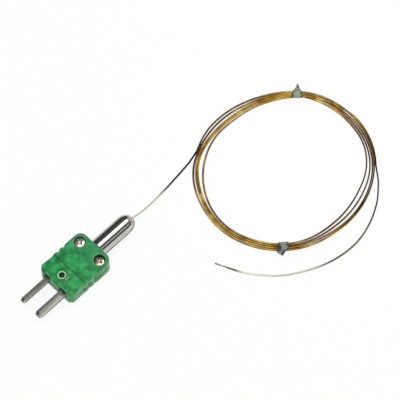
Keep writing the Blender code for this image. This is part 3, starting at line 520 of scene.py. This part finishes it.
def coilControls():
    # (unrolled angle, lane) pairs along the whole wire; the angle falls as the wire runs on
    controls = [(coil["joinAngle"], coil["joinLane"])]
    controls += list(zip(coil["plugSideAngles"][-len(coil["joinLanes"]):], coil["joinLanes"]))
    base = 0
    for topLane, farSide, bottomLane, plugSide in coil["turns"]:
        controls.append((base + coil["topTie"], topLane))
        controls += [(base + angle, lane) for angle, lane in zip(coil["farSideAngles"], farSide)]
        controls.append((base + coil["bottomTie"], bottomLane))
        base -= 360
        controls += [(base + angle, lane) for angle, lane in zip(coil["plugSideAngles"], plugSide)]
    controls.append((base + coil["topTie"], coil["lastTopLane"]))
    controls += [(base + angle, lane) for angle, lane in zip(coil["farSideAngles"], coil["leaveLanes"])]
    controls.append((base + coil["leaveAngle"], coil["leaveLane"]))
    return controls


def nearness(angle, middle, full, reach):
    # 1 up to full degrees from the middle, from there down to 0 over the reach
    away = abs((angle - middle + 180) % 360 - 180)
    beyond = max(0.0, away - full) / reach
    return 0.5 + 0.5 * math.cos(math.pi * min(1.0, beyond))


def coilPoint(angle, lane, height):
    # A place on the loop from its angle in degrees, its distance outside the middle line and its height
    turn = math.radians(angle)
    oval = coil["oval"] * math.cos(2 * (turn - math.radians(coil["ovalAngle"])))
    bulge = coil["bulge"] * nearness(angle, coil["bulgeAngle"], 0, coil["bulgeReach"])
    radius = coil["radius"] + oval + bulge + lane
    x = coil["centre"][0] + radius * math.cos(turn)
    y = coil["centre"][1] + radius * math.sin(turn)
    return Vector((x, y, height))


def evenOut(values, keep):
    # Each inner value keeps a share of itself and takes the rest from the values beside it
    values[1:-1] = keep * values[1:-1] + (1 - keep) / 2 * (values[:-2] + values[2:])


def settleStrands():
    # Strands that share a place are pushed apart until they lie beside or on each other
    controls = coilControls()
    knownAngles = np.array([-angle for angle, lane in controls])
    knownLanes = np.array([lane for angle, lane in controls]) * mm
    first = coil["joinAngle"]
    last = coil["leaveAngle"] - 360 * len(coil["turns"])
    angles = np.arange(first, last - 1e-6, -coil["stepAngle"])
    wanted = np.interp(-angles, knownAngles, knownLanes)
    for smoothing in range(4):
        evenOut(wanted, settling["keepRoute"])
    near = np.zeros(len(angles))
    for tie in (coil["topTie"], coil["bottomTie"]):
        nearTie = [nearness(angle, tie, coil["tieHalf"], coil["liftReach"]) for angle in angles]
        near = np.maximum(near, nearTie)
    floor = wire["height"] / 2 + settling["clear"] + near * coil["tieLift"]
    perTurn = round(360 / coil["stepAngle"])
    lanes = wanted.copy()
    heights = floor + np.linspace(0, settling["heap"], len(angles))
    gap = settling["gap"] * wire["width"]
    for move in range(settling["moves"]):
        lanes += settling["pull"] * (wanted - lanes)
        heights -= settling["sink"]
        for lap in range(1, len(coil["turns"]) + 1):
            offset = lap * perTurn
            if offset >= len(angles):
                break
            across = lanes[offset:] - lanes[:-offset]
            upward = heights[offset:] - heights[:-offset]
            apart = np.sqrt(across**2 + upward**2) + 1e-9
            push = np.maximum(0.0, gap - apart) * settling["push"]
            lanes[offset:] += push * across / apart
            lanes[:-offset] -= push * across / apart
            heights[offset:] += push * upward / apart
            heights[:-offset] -= push * upward / apart
        evenOut(lanes, settling["keepStrand"])
        evenOut(heights, settling["keepStrand"])
        heights = np.maximum(heights, floor)
    return [coilPoint(angle, lane, height) for angle, lane, height in zip(angles, lanes, heights)]


def twistAlong(path):
    # The twin turns over once in two laps of the loop, so its broad side lies up on the plug side
    centre = Vector((*coil["centre"], 0))
    turns = []
    unrolled = None
    for point in path:
        seen = math.atan2(point.y - centre.y, point.x - centre.x)
        if unrolled is None:
            unrolled = seen
        unrolled += (seen - unrolled + math.pi) % math.tau - math.pi
        beyond = unrolled - math.radians(wire["flatAngle"])
        turns.append(beyond / 2 - wire["flatReach"] * math.sin(beyond))
    return turns


def twinOutline():
    # A flat round outline with a dip on each broad side, where the two conductors meet
    outline = []
    for step in range(wire["ringPoints"]):
        angle = math.tau * step / wire["ringPoints"]
        dip = 1 - (1 - wire["waist"]) * abs(math.sin(angle)) ** 4
        outline.append((wire["width"] / 2 * math.cos(angle), wire["height"] / 2 * math.sin(angle) * dip))
    return outline


# The film: its colours, with its painted shade and painted glare, and where along the wire they change
film = {
    "gold": "CA9C26",
    "deep": "3A2206",
    "paintedGlare": "DCD9CA",
    "paintedShadeNearLoop": "0E0804",
    "grey": "6A665E",
    "paintedEndGlare": "F6F2E6",
    "copper": "9A5826",
    "burnt": "5A5452",
    "lap": 1.9 * mm,            # the film is wound on with one lap in this length
    "copperShare": 0.5,
    "narrowSide": (0.28, 0.88),
    "seam": (0.80, 0.98),       # where laps meet, as a share of a lap
    "seamShare": 0.15,
    # how far the painted grey shade reaches into the lead and the tail from the loop
    "paintedGreyShadeReach": (8 * mm, 12 * mm),
    "paintedGreyShadeShare": 0.75,
    # shares of the lead and of the tail, counted from the tube and from the loop, for their painted shade
    # and painted glare
    "darkLeadFrom": 0.58,
    "darkTailTo": 0.24,
    "paleLead": (0.38, 0.60),
    "paleTail": (0.50, 0.66),
    "paleShare": 0.85,
    "paintedEndGlareStretch": (0.76, 0.87),
    "paintedEndGlareShare": 0.6,
    # how far the painted shade on the lead and the tail goes on in the loop, and its soft borders
    "darkPast": (6 * mm, 12 * mm),
    "darkEdge": (5 * mm, 11 * mm),
    "burntEnd": (5.0 * mm, 0.5 * mm),
    "paintedShadeStretchEdge": 7 * mm,
    # stretches of painted shade, as unrolled angles that fall by 360 with each lap, and how dark
    "paintedShadeStretches": (
        (128, 55, 0.75), (-30, -110, 0.4), (-228, -300, 0.95), (-390, -470, 0.4), (-745, -880, 0.65),
        (-1095, -1200, 0.65), (-1245, -1345, 0.55),
    ),
}


def amberFilm(leadLength, tailLength, length):
    # Polyimide film, wound on and sealed: clear gold-brown over the metal with coppery stretches, glossy,
    # and burnt grey where it was stripped for the tip. Painted shade makes it deep brown on its narrow
    # sides and along stretches of the loop, grey and dark near the loop, and painted glare makes it paler
    # along the lead and the tail
    material, add, shader = newMaterial("amberPolyimideFilm", film["gold"], 0.35, 0.1)
    tailStart = length - tailLength
    lapCount = len(coil["turns"]) + (coil["joinAngle"] - coil["leaveAngle"]) / 360
    lapLength = (tailStart - leadLength) / lapCount
    places = add("TexCoord").outputs
    uv = add("SeparateXYZ", {0: places["UV"]}).outputs
    distance = uv["X"]

    # gold, with coppery patches
    patches = add("TexNoise", {"Vector": places["Object"], "Scale": 1 / (5.0 * mm), "Detail": 2.0})
    golds = ((0.35, "98701A"), (0.50, film["gold"]), (0.66, "F4D86E"))
    tone = add("ValToRGB", {0: patches}, golds)
    reddish = add("TexNoise", {"Vector": places["Object"], "Scale": 1 / (8.0 * mm), "Detail": 1.0})
    coppery = add("MapRange", {0: reddish, 1: 0.52, 2: 0.66, 4: film["copperShare"]}, **soft)

    # painted shade on the narrow sides, and the seam between laps
    around = add("Math", {0: uv["Y"], 1: math.tau}, **times)
    turned = add("Math", {0: around}, operation="COSINE")
    sideways = add("Math", {0: turned}, operation="ABSOLUTE")
    low, high = film["narrowSide"]
    paintedSideShade = add("MapRange", {0: sideways, 1: low, 2: high}, **soft)
    wound = add("Math", {0: distance, 1: film["lap"]}, operation="DIVIDE")
    wound = add("Math", {0: wound, 1: uv["Y"]}, operation="ADD")
    laps = add("Math", {0: wound}, operation="FRACT")
    low, high = film["seam"]
    seam = add("MapRange", {0: laps, 1: low, 2: high, 4: film["seamShare"]}, **soft)
    layers = [(coppery, film["copper"]), (paintedSideShade, film["deep"]), (seam, film["deep"])]

    # painted shade: darker stretches of the loop
    for first, last, strength in film["paintedShadeStretches"]:
        ends = (leadLength + lapLength * (coil["joinAngle"] - angle) / 360 for angle in (first, last))
        stretch = band(add, distance, *ends, film["paintedShadeStretchEdge"])
        layers.append((add("Math", {0: stretch, 1: strength}, **times), film["deep"]))

    # painted grey shade on the lead and the tail where they meet the loop
    reach, farReach = film["paintedGreyShadeReach"]
    share = film["paintedGreyShadeShare"]
    start = leadLength - reach
    paintedGreyShadeLead = add("MapRange", {0: distance, 1: start, 2: leadLength, 3: share, 4: 0.0}, **soft)
    end = tailStart + farReach
    paintedGreyShadeTail = add("MapRange", {0: distance, 1: tailStart, 2: end, 4: share}, **soft)
    layers.append((add("Math", {0: paintedGreyShadeLead, 1: paintedGreyShadeTail}, operation="MAXIMUM"), film["grey"]))
    # painted shade: the lead and the tail dark near the loop
    past, farPast = film["darkPast"]
    edge, farEdge = film["darkEdge"]
    darkLead = band(add, distance, film["darkLeadFrom"] * leadLength, leadLength + past, edge)
    end = tailStart + film["darkTailTo"] * tailLength
    darkTail = band(add, distance, tailStart - farPast, end, farEdge)
    layers.append((add("Math", {0: darkLead, 1: darkTail}, operation="MAXIMUM"), film["paintedShadeNearLoop"]))
    # painted glare: pale stretches of the lead and the tail
    share = film["paleShare"]
    start, end = (place * leadLength for place in film["paleLead"])
    paleLead = add("MapRange", {0: distance, 1: start, 2: end, 3: share, 4: 0.0}, **soft)
    start, end = (tailStart + place * tailLength for place in film["paleTail"])
    paleTail = add("MapRange", {0: distance, 1: start, 2: end, 4: share}, **soft)
    layers.append((add("Math", {0: paleLead, 1: paleTail}, operation="MAXIMUM"), film["paintedGlare"]))
    # painted glare: the tail paler towards its end
    start, end = (tailStart + place * tailLength for place in film["paintedEndGlareStretch"])
    paintedEndGlare = add("MapRange", {0: distance, 1: start, 2: end, 4: film["paintedEndGlareShare"]}, **soft)
    start, end = (length - reach for reach in film["burntEnd"])
    burnt = add("MapRange", {0: distance, 1: start, 2: end}, **soft)
    layers += [(paintedEndGlare, film["paintedEndGlare"]), (burnt, film["burnt"])]

    for share, shade in layers:
        tone = add("Mix", {0: share, 6: tone, 7: shade}, **blend)
    feed(shader, {
        "Base Color": tone,
        "Specular IOR Level": 0.2,
        "Coat Weight": 0.12,
        "Coat Roughness": 0.12,
        "Normal": add("Bump", {"Height": laps, "Distance": 0.008 * mm}),
    })
    return material


def makeWire():
    route = wire["lead"] + settleStrands() + wire["tail"]
    path, length = smoothRoute(route, wire["spacing"])
    leadLength = smoothRoute(wire["lead"], wire["spacing"])[1]
    tailLength = smoothRoute(wire["tail"], wire["spacing"])[1]
    bm = bmesh.new()
    sweep(bm, path, twinOutline(), twistAlong(path))
    for vert in bm.verts:
        vert.co.z = max(vert.co.z, 0.0)
    material = amberFilm(leadLength, tailLength, length)
    nodes = ("lead_wire", "wire_coil", "tail_wire")
    piece = finishPiece("probe_wire", bm, material, nodes, 60)
    print("wire", round(length, 4), "m", len(path), "points")


# The bare tip: two conductors side by side, drawn together in a small welded bead
junction = {
    "start": (0.0403, -0.0390, 0.0003),
    "end": (0.0376, -0.0331, 0.0004),
    "conductor": 0.17 * mm,
    "apart": 0.17 * mm,
    "sides": 8,
    "steps": 24,
    "turns": 0.5,
    "beadReach": 0.45 * mm,
    "beadRadius": 0.26 * mm,
    # the bead's outline, as shares of its reach and its radius
    "bead": ((-1.4, 0.55), (-0.9, 0.72), (-0.45, 0.95), (0.0, 1.0), (0.45, 0.88), (0.8, 0.55), (1.0, 0)),
    "beadSteps": 16,
    "buried": 1.0 * mm,         # how far the conductors reach back into the film
}


def makeJunction(material):
    start, end = Vector(junction["start"]), Vector(junction["end"])
    ahead = (end - start).normalized()
    start -= ahead * junction["buried"]
    side = ahead.cross(Vector((0, 0, 1))).normalized()
    up = side.cross(ahead)
    bm = bmesh.new()
    outline = []
    for step in range(junction["sides"]):
        angle = math.tau * step / junction["sides"]
        outline.append((junction["conductor"] * math.cos(angle), junction["conductor"] * math.sin(angle)))
    for half in (0, math.pi):
        path = []
        for step in range(junction["steps"] + 1):
            share = step / junction["steps"]
            turn = half + math.tau * junction["turns"] * share
            reach = junction["apart"] * (1 - 0.5 * share**4)
            beside = side * math.cos(turn) + up * math.sin(turn)
            path.append(start.lerp(end, share) + beside * reach)
        sweep(bm, path, outline)
    rim = []
    for share, radius in junction["bead"]:
        point = end + ahead * junction["beadReach"] * (share - 1) + up * junction["beadRadius"] * radius
        rim.append(bm.verts.new(point))
    edges = [bm.edges.new(pair) for pair in zip(rim, rim[1:])]
    bmesh.ops.spin(
        bm, geom=rim + edges, cent=end, axis=ahead, angle=math.tau,
        steps=junction["beadSteps"], use_merge=True)
    bmesh.ops.remove_doubles(bm, verts=bm.verts, dist=0.001 * mm)
    bmesh.ops.recalc_face_normals(bm, faces=bm.faces)
    print("bare tip made")
    return finishPiece("bare_tip", bm, material, ("junction_bead",))


# Twist ties: a ribbon with a wire core, wrapped once round the strands, its ends twisted together
ties = {
    "top": {
        "node": "tie_top", "angle": coil["topTie"], "offset": -0.15 * mm,
        "reach": 1.36 * mm, "rise": 0.72 * mm, "widthIn": 4.1 * mm, "widthOut": 3.0 * mm,
        "lean": (0.02, -0.02, 0.55), "tail": 2.9 * mm, "tailShift": 0.0, "tailWidth": 2.9 * mm,
        "tailTip": 0.8 * mm, "twist": 0.2, "crumple": 0.10 * mm, "seed": 0.0,
    },
    "bottom": {
        "node": "tie_bottom", "angle": coil["bottomTie"], "offset": 0.0,
        "reach": 1.45 * mm, "rise": 0.72 * mm, "widthIn": 3.6 * mm, "widthOut": 3.9 * mm,
        "lean": (-0.35, 0.30, 0.1), "tail": 2.1 * mm, "tailShift": -0.75 * mm, "tailWidth": 3.1 * mm,
        "tailTip": 2.6 * mm, "twist": 0.08, "crumple": 0.14 * mm, "seed": 2.0,
    },
}
ribbon = {
    "thickness": 0.16 * mm,
    "aroundSteps": 56,
    "acrossSteps": 10,
    "tailSteps": 18,
    "core": 0.16 * mm,          # how far the wire core stands out under the ribbon
    "coreReach": 0.09,          # of the ribbon's width
    "pleat": 0.30 * mm,         # depth of the folds along a twisted end
    "overlap": 0.25 * mm,       # how far a twisted end starts inside the wrap
    "corners": 0.65,            # of the wrap: 1 is a circle, and smaller is nearer to a rectangle
    "middle": 0.92 * mm,        # height of the middle of the strands above the table
    "lowest": 0.02 * mm,
}


def tieRibbon(name, light, shade):
    # Plastic-faced paper ribbon, creased by hand: grey-green and matte, with painted shade in dark olive
    # along both sides and in patches where it is creased, so it is paler over its wire core in the middle
    material, add, shader = newMaterial(name, light, 0.55)
    places = add("TexCoord").outputs
    uv = add("SeparateXYZ", {0: places["UV"]}).outputs
    creases = add("TexNoise", {"Vector": places["Object"], "Scale": 1 / (0.7 * mm), "Detail": 3.0})
    fibres = add("TexNoise", {"Vector": places["Object"], "Scale": 1 / (0.09 * mm), "Detail": 2.0})
    offCentre = add("Math", {0: uv["Y"], 1: 0.5}, operation="SUBTRACT")
    offCentre = add("Math", {0: offCentre}, operation="ABSOLUTE")
    ragged = add("MapRange", {0: creases, 1: 0.3, 2: 0.7, 3: -0.16, 4: 0.16}, **soft)
    fold = add("Math", {0: offCentre, 1: ragged}, operation="ADD")
    paintedEdgeShade = add("MapRange", {0: fold, 1: 0.20, 2: 0.40}, **soft)
    paintedCreaseShade = add("MapRange", {0: creases, 1: 0.55, 2: 0.75, 4: 0.6}, **soft)
    tone = add("Mix", {0: paintedEdgeShade, 6: light, 7: shade}, **blend)
    fine = add("Math", {0: fibres, 1: 0.2}, **times)
    height = add("Math", {0: creases, 1: fine}, operation="ADD")
    feed(shader, {
        "Base Color": add("Mix", {0: paintedCreaseShade, 6: tone, 7: shade}, **blend),
        "Normal": add("Bump", {"Height": height, "Distance": 0.12 * mm}),
    })
    return material


def bendStrip(bm, alongSteps, acrossSteps, shape):
    # A flat grid bent into place: shape gives the point for a share along and a share across
    uv = bm.loops.layers.uv.verify()
    known = set(bm.verts)
    knownFaces = set(bm.faces)
    bmesh.ops.create_grid(bm, x_segments=alongSteps, y_segments=acrossSteps, size=0.5)
    shares = {vert: (vert.co.x + 0.5, vert.co.y + 0.5) for vert in bm.verts if vert not in known}
    for face in bm.faces:
        if face not in knownFaces:
            for loop in face.loops:
                loop[uv].uv = shares[loop.vert]
    for vert, (along, across) in shares.items():
        vert.co = shape(along, across)


def rounded(value):
    # A sine or cosine as its share on a loop between a circle and a rectangle
    return math.copysign(abs(value) ** ribbon["corners"], value)


def makeTie(name, tie, material):
    middle = coilPoint(tie["angle"], tie["offset"], ribbon["middle"])
    along = (coilPoint(tie["angle"] + 1, 0, 0) - coilPoint(tie["angle"] - 1, 0, 0)).normalized()
    outward = along.cross(Vector((0, 0, 1)))
    direction = (outward + Vector(tie["lean"])).normalized()
    across = direction.cross(Vector((0, 0, 1))).normalized()
    upward = across.cross(direction)

    def crumpled(u, v):
        wave = math.sin(19 * u + 5 * v + tie["seed"]) + math.sin(11 * u - 9 * v + 2 * tie["seed"])
        ridge = ribbon["core"] * math.exp(-((v - 0.5) / ribbon["coreReach"]) ** 2)
        return tie["crumple"] * 0.5 * wave * min(1.0, 4 * abs(v - 0.5)) + ridge

    def loop(u, v):
        angle = math.tau * u
        inward = 0.5 - 0.5 * math.cos(angle)
        width = tie["widthOut"] + (tie["widthIn"] - tie["widthOut"]) * inward
        grow = crumpled(u, v)
        reach = (tie["reach"] + grow) * rounded(math.cos(angle))
        rise = (tie["rise"] + grow) * rounded(math.sin(angle))
        return middle + outward * reach + Vector((0, 0, rise)) + along * (width * (v - 0.5))

    def tail(u, v):
        # u goes out along the first twisted end
        turn = math.tau * tie["twist"] * u**1.5
        wide = across * math.cos(turn) + upward * math.sin(turn)
        thick = upward * math.cos(turn) - across * math.sin(turn)
        width = tie["tailWidth"] + (tie["tailTip"] - tie["tailWidth"]) * u**0.8
        start = middle + outward * (tie["reach"] - ribbon["overlap"]) + along * tie["tailShift"]
        fold = ribbon["pleat"] * math.sin(math.tau * 1.5 * v) * (1 - 0.4 * u)
        out = direction * (tie["tail"] * u)
        return start + out + wide * (width * (v - 0.5)) + thick * (fold + crumpled(u, v))

    bm = bmesh.new()
    bendStrip(bm, ribbon["aroundSteps"], ribbon["acrossSteps"], loop)
    bmesh.ops.remove_doubles(bm, verts=bm.verts, dist=0.01 * mm)
    bendStrip(bm, ribbon["tailSteps"], ribbon["acrossSteps"], tail)
    bmesh.ops.solidify(bm, geom=list(bm.faces), thickness=ribbon["thickness"])
    for vert in bm.verts:
        vert.co.z = max(vert.co.z, ribbon["lowest"])
    bmesh.ops.recalc_face_normals(bm, faces=bm.faces)
    print(name, "made")
    return finishPiece(name, bm, material, (tie["node"],), 50)


# Hard pieces: copies of the CAD pieces with their sharp edges eased, as moulding and tumbling leave them.
# Each has the name of its copy and how far its edges are eased
eased = {
    "housing_base": ("plug_housing_base", 0.10 * mm),
    "housing_lid": ("plug_housing_lid", 0.10 * mm),
    "pin_positive": ("plug_pin_positive", 0.05 * mm),
    "pin_negative": ("plug_pin_negative", 0.05 * mm),
    "lid_screw_left": ("plug_screw_left", 0.06 * mm),
    "lid_screw_right": ("plug_screw_right", 0.06 * mm),
}
easing = {
    "merge": 0.002 * mm,
    "flat": 0.5,                # degrees, up to which two faces become one
    "sharp": 40,                # degrees, from which an edge is eased
}


def easeEdges(bm, edges, width):
    bmesh.ops.bevel(bm, geom=edges, offset=width, affect="EDGES", segments=2, profile=0.5, material=-1)


def easedCopy(node, material):
    name, width = eased[node]
    bm = bmesh.new()
    bm.from_mesh(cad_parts[node].data)
    bmesh.ops.remove_doubles(bm, verts=bm.verts, dist=easing["merge"])
    bmesh.ops.dissolve_limit(bm, angle_limit=math.radians(easing["flat"]), verts=bm.verts, edges=bm.edges)
    sharp = []
    for edge in bm.edges:
        if len(edge.link_faces) == 2 and edge.calc_face_angle() > math.radians(easing["sharp"]):
            if edge.calc_length() > 2 * width:
                sharp.append(edge)
    easeEdges(bm, sharp, width)
    return finishPiece(name, bm, material, (node,))


# The mark on the lid beside the wide blade: a plain minus bar, raised a little
minusMark = {
    "centre": (-6.37 * mm, -2.30 * mm),
    "turn": math.radians(6),
    "size": (1.95 * mm, 0.34 * mm),
    "foot": 7.9 * mm,
    "top": 8.10 * mm,
    "draft": 0.05 * mm,
}


def makeMinusMark(material):
    bm = bmesh.new()
    bmesh.ops.create_grid(bm, x_segments=8, y_segments=2, size=0.5)
    bmesh.ops.scale(bm, verts=bm.verts, vec=(*minusMark["size"], 1))
    bmesh.ops.rotate(bm, verts=bm.verts, cent=(0, 0, 0), matrix=Matrix.Rotation(minusMark["turn"], 3, "Z"))
    bmesh.ops.translate(bm, verts=bm.verts, vec=(*minusMark["centre"], minusMark["foot"]))
    made = bmesh.ops.extrude_face_region(bm, geom=list(bm.faces))["geom"]
    lifted = [item for item in made if isinstance(item, bmesh.types.BMVert)]
    bmesh.ops.translate(bm, verts=lifted, vec=(0, 0, minusMark["top"] - minusMark["foot"]))
    bmesh.ops.recalc_face_normals(bm, faces=bm.faces)
    rims = [edge for edge in bm.edges if len(edge.link_faces) == 2 and edge.calc_face_angle() > 1]
    easeEdges(bm, rims, minusMark["draft"])
    print("lid mark made")
    return finishPiece("lid_minus_mark", bm, material)


def paleBarPlastic():
    # The same green nylon, paler and smoother on top of the raised bar
    material, add, shader = newMaterial("paleGreenNylon", "7CBC8A", 0.42)
    place = add("TexCoord").outputs["Object"]
    mottle = add("TexNoise", {"Vector": place, "Scale": 1 / (0.5 * mm), "Detail": 3.0})
    feed(shader, {
        "Base Color": add("ValToRGB", {0: mottle}, ((0.35, "4E9C62"), (0.65, "A2D2A8"))),
        "Normal": add("Bump", {"Height": mottle, "Distance": 0.01 * mm}),
    })
    return material


# The strain-relief tube, turned in one piece: (distance from the housing's end, radius), in mm
tube = {
    "start": 10.65 * mm,
    "height": 4.0 * mm,
    "steps": 96,
    "outside": (
        (0.0, 2.20), (0.0, 3.38), (0.12, 3.5), (13.2, 3.5), (13.5, 3.495), (14.1, 3.44), (14.8, 3.30),
        (15.4, 3.10), (16.0, 2.78), (16.5, 2.40), (16.9, 1.98), (17.15, 1.60), (17.3, 1.25), (17.35, 0.95),
    ),
    "inside": (
        (17.28, 0.62), (17.1, 0.50), (16.2, 0.50), (14.7, 2.2), (13.4, 2.5), (0.9, 2.5), (0.9, 1.2),
        (-2.0, 1.2), (-7.3, 1.2), (-7.3, 2.2), (-6.75, 2.2), (-6.75, 2.8), (-5.95, 2.8), (-5.95, 2.2),
    ),
}


def makeTube(material):
    bm = bmesh.new()
    rim = []
    for along, radius in tube["outside"] + tube["inside"]:
        rim.append(bm.verts.new((tube["start"] + along * mm, 0, tube["height"] + radius * mm)))
    edges = [bm.edges.new((rim[i], rim[i - 1])) for i in range(len(rim))]
    bmesh.ops.spin(
        bm, geom=rim + edges, cent=(0, 0, tube["height"]), axis=(1, 0, 0), angle=math.tau,
        steps=tube["steps"], use_merge=True)
    bmesh.ops.recalc_face_normals(bm, faces=bm.faces)
    print("tube turned")
    return finishPiece("strain_relief_tube", bm, material, ("relief_tube",), 25)


def dressNodes(names, material):
    # CAD pieces that are shown as they are, with their real finish
    for name in names:
        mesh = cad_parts[name].data
        mesh.materials.clear()
        mesh.materials.append(material)


# The table and the light
studio = {
    "floorSize": 6.0,
    "floorDrop": 0.02 * mm,     # keeps the floor clear of the faces that rest on it
    "floorColour": "F4F4F2",
    "cameraShare": 0.85,        # of the table's own glow in the camera's view, so it stays near white
    "glow": 1.02,
    "worldStrength": 0.62,
    "panelEnergy": 1.68,
    "panelSize": (0.8, 0.36),
    "panelPlace": (0.20, -0.03, 0.6),
    "cardColour": "464442",
    # dark cards that only polished metal sees: the side they stand on, their feet and their tops
    "cards": ((0.25, 0.0, 0.78), (-0.25, 0.25, 0.64), (-0.25, 0.053, 0.162)),
    "cardReach": (-0.35, 0.60),
    # painted shadow: a small dark card on the table under the tube, which only reflections see, stands for
    # the tube's shadow there: its corners and its height
    "paintedShadowCard": ((0.0120, -0.0052), (0.0340, 0.0020)),
    "paintedShadowCardHeight": 0.05 * mm,
}


def flatSheet(width, depth):
    bm = bmesh.new()
    bmesh.ops.create_grid(bm, x_segments=1, y_segments=1, size=0.5)
    bmesh.ops.scale(bm, verts=bm.verts, vec=(width, depth, 1))
    return bm


def makeStudio():
    material, add, shader = newMaterial("paleTable", studio["floorColour"], 0.9)
    rays = add("LightPath").outputs
    glow = add("Emission", {"Color": "FFFFFF", "Strength": studio["glow"]})
    share = add("Math", {0: rays["Is Camera Ray"], 1: studio["cameraShare"]}, **times)
    mix = add("MixShader", {0: share, 1: shader, 2: glow})
    feed(material.node_tree.nodes["Material Output"], {"Surface": mix})
    bm = flatSheet(studio["floorSize"], studio["floorSize"])
    bmesh.ops.translate(bm, verts=bm.verts, vec=(0, 0, -studio["floorDrop"]))
    newObject("floor", bm, material)
    world = bpy.data.worlds.new("studio")
    world.use_nodes = True
    background = world.node_tree.nodes["Background"]
    background.inputs["Color"].default_value = (1, 1, 1, 1)
    background.inputs["Strength"].default_value = studio["worldStrength"]
    bpy.context.scene.world = world
    light = bpy.data.lights.new("panel", "AREA")
    light.shape = "RECTANGLE"
    light.energy = studio["panelEnergy"]
    light.size, light.size_y = studio["panelSize"]
    panel = linkObject("panel", light)
    panel.location = studio["panelPlace"]
    bpy.context.scene.view_settings.view_transform = "Standard"
    print("studio made")


def finishCard(name, bm, material):
    # Only reflections see a card
    card = newObject(name, bm, material)
    card.visible_camera = False
    card.visible_diffuse = False
    card.visible_shadow = False


def makeCards():
    material = newMaterial("darkCard", studio["cardColour"], 0.9)[0]
    low, high = studio["cardReach"]
    upright = Matrix.Rotation(math.radians(90), 3, "X")
    for index, (side, foot, top) in enumerate(studio["cards"]):
        bm = flatSheet(high - low, top - foot)
        bmesh.ops.rotate(bm, verts=bm.verts, cent=(0, 0, 0), matrix=upright)
        bmesh.ops.translate(bm, verts=bm.verts, vec=((low + high) / 2, side, (foot + top) / 2))
        finishCard(f"card{index}", bm, material)
    # painted shadow under the tube, seen only in reflections
    (left, near), (right, far) = studio["paintedShadowCard"]
    bm = flatSheet(right - left, far - near)
    middle = ((left + right) / 2, (near + far) / 2, studio["paintedShadowCardHeight"])
    bmesh.ops.translate(bm, verts=bm.verts, vec=middle)
    finishCard("paintedShadowCard", bm, material)
    print("cards placed")


makeCamera()
bareMetal = bareConductor()
tip = makeJunction(bareMetal)
makeTie("twist_tie_top", ties["top"], tieRibbon("paperRibbonLight", "96A48C", "3E4228"))
makeTie("twist_tie_bottom", ties["bottom"], tieRibbon("paperRibbonDark", "889084", "2E2A30"))
makeWire()
green = housingPlastic()
for half in ("housing_base", "housing_lid"):
    easedCopy(half, green)
makeMinusMark(paleBarPlastic())
easedCopy("pin_positive", bladeAlloy("rolledPositiveAlloy", "BBBBB3", "6E6C64", "918B80"))
easedCopy("pin_negative", bladeAlloy("rolledNegativeAlloy", "B5B6AE", "8A8880", "AAA294"))
plate = platedSteel("brightNickelPlate", "E4E0D6", "A49C84", "lid_screw_left")
easedCopy("lid_screw_left", plate)
# a darker copy of the nickel plate: painted shade on the right screw, which sits deeper in its bore
shadedPlate = platedSteel("shadedNickelPlate", "CCC8AE", "6E6A4C", "lid_screw_right")
easedCopy("lid_screw_right", shadedPlate)
makeTube(polishedSteel())
dressNodes(("terminal_screw_positive", "terminal_screw_negative"), plate)
dressNodes(("terminal_washer_positive", "terminal_washer_negative"), plate)
dressNodes(("conductor_positive", "conductor_negative"), bareMetal)
dressNodes(("lid_insert_left", "lid_insert_right"), insertBrass())
dressNodes(("relief_potting",), pottingResin())
print("hard pieces made")
makeStudio()
makeCards()
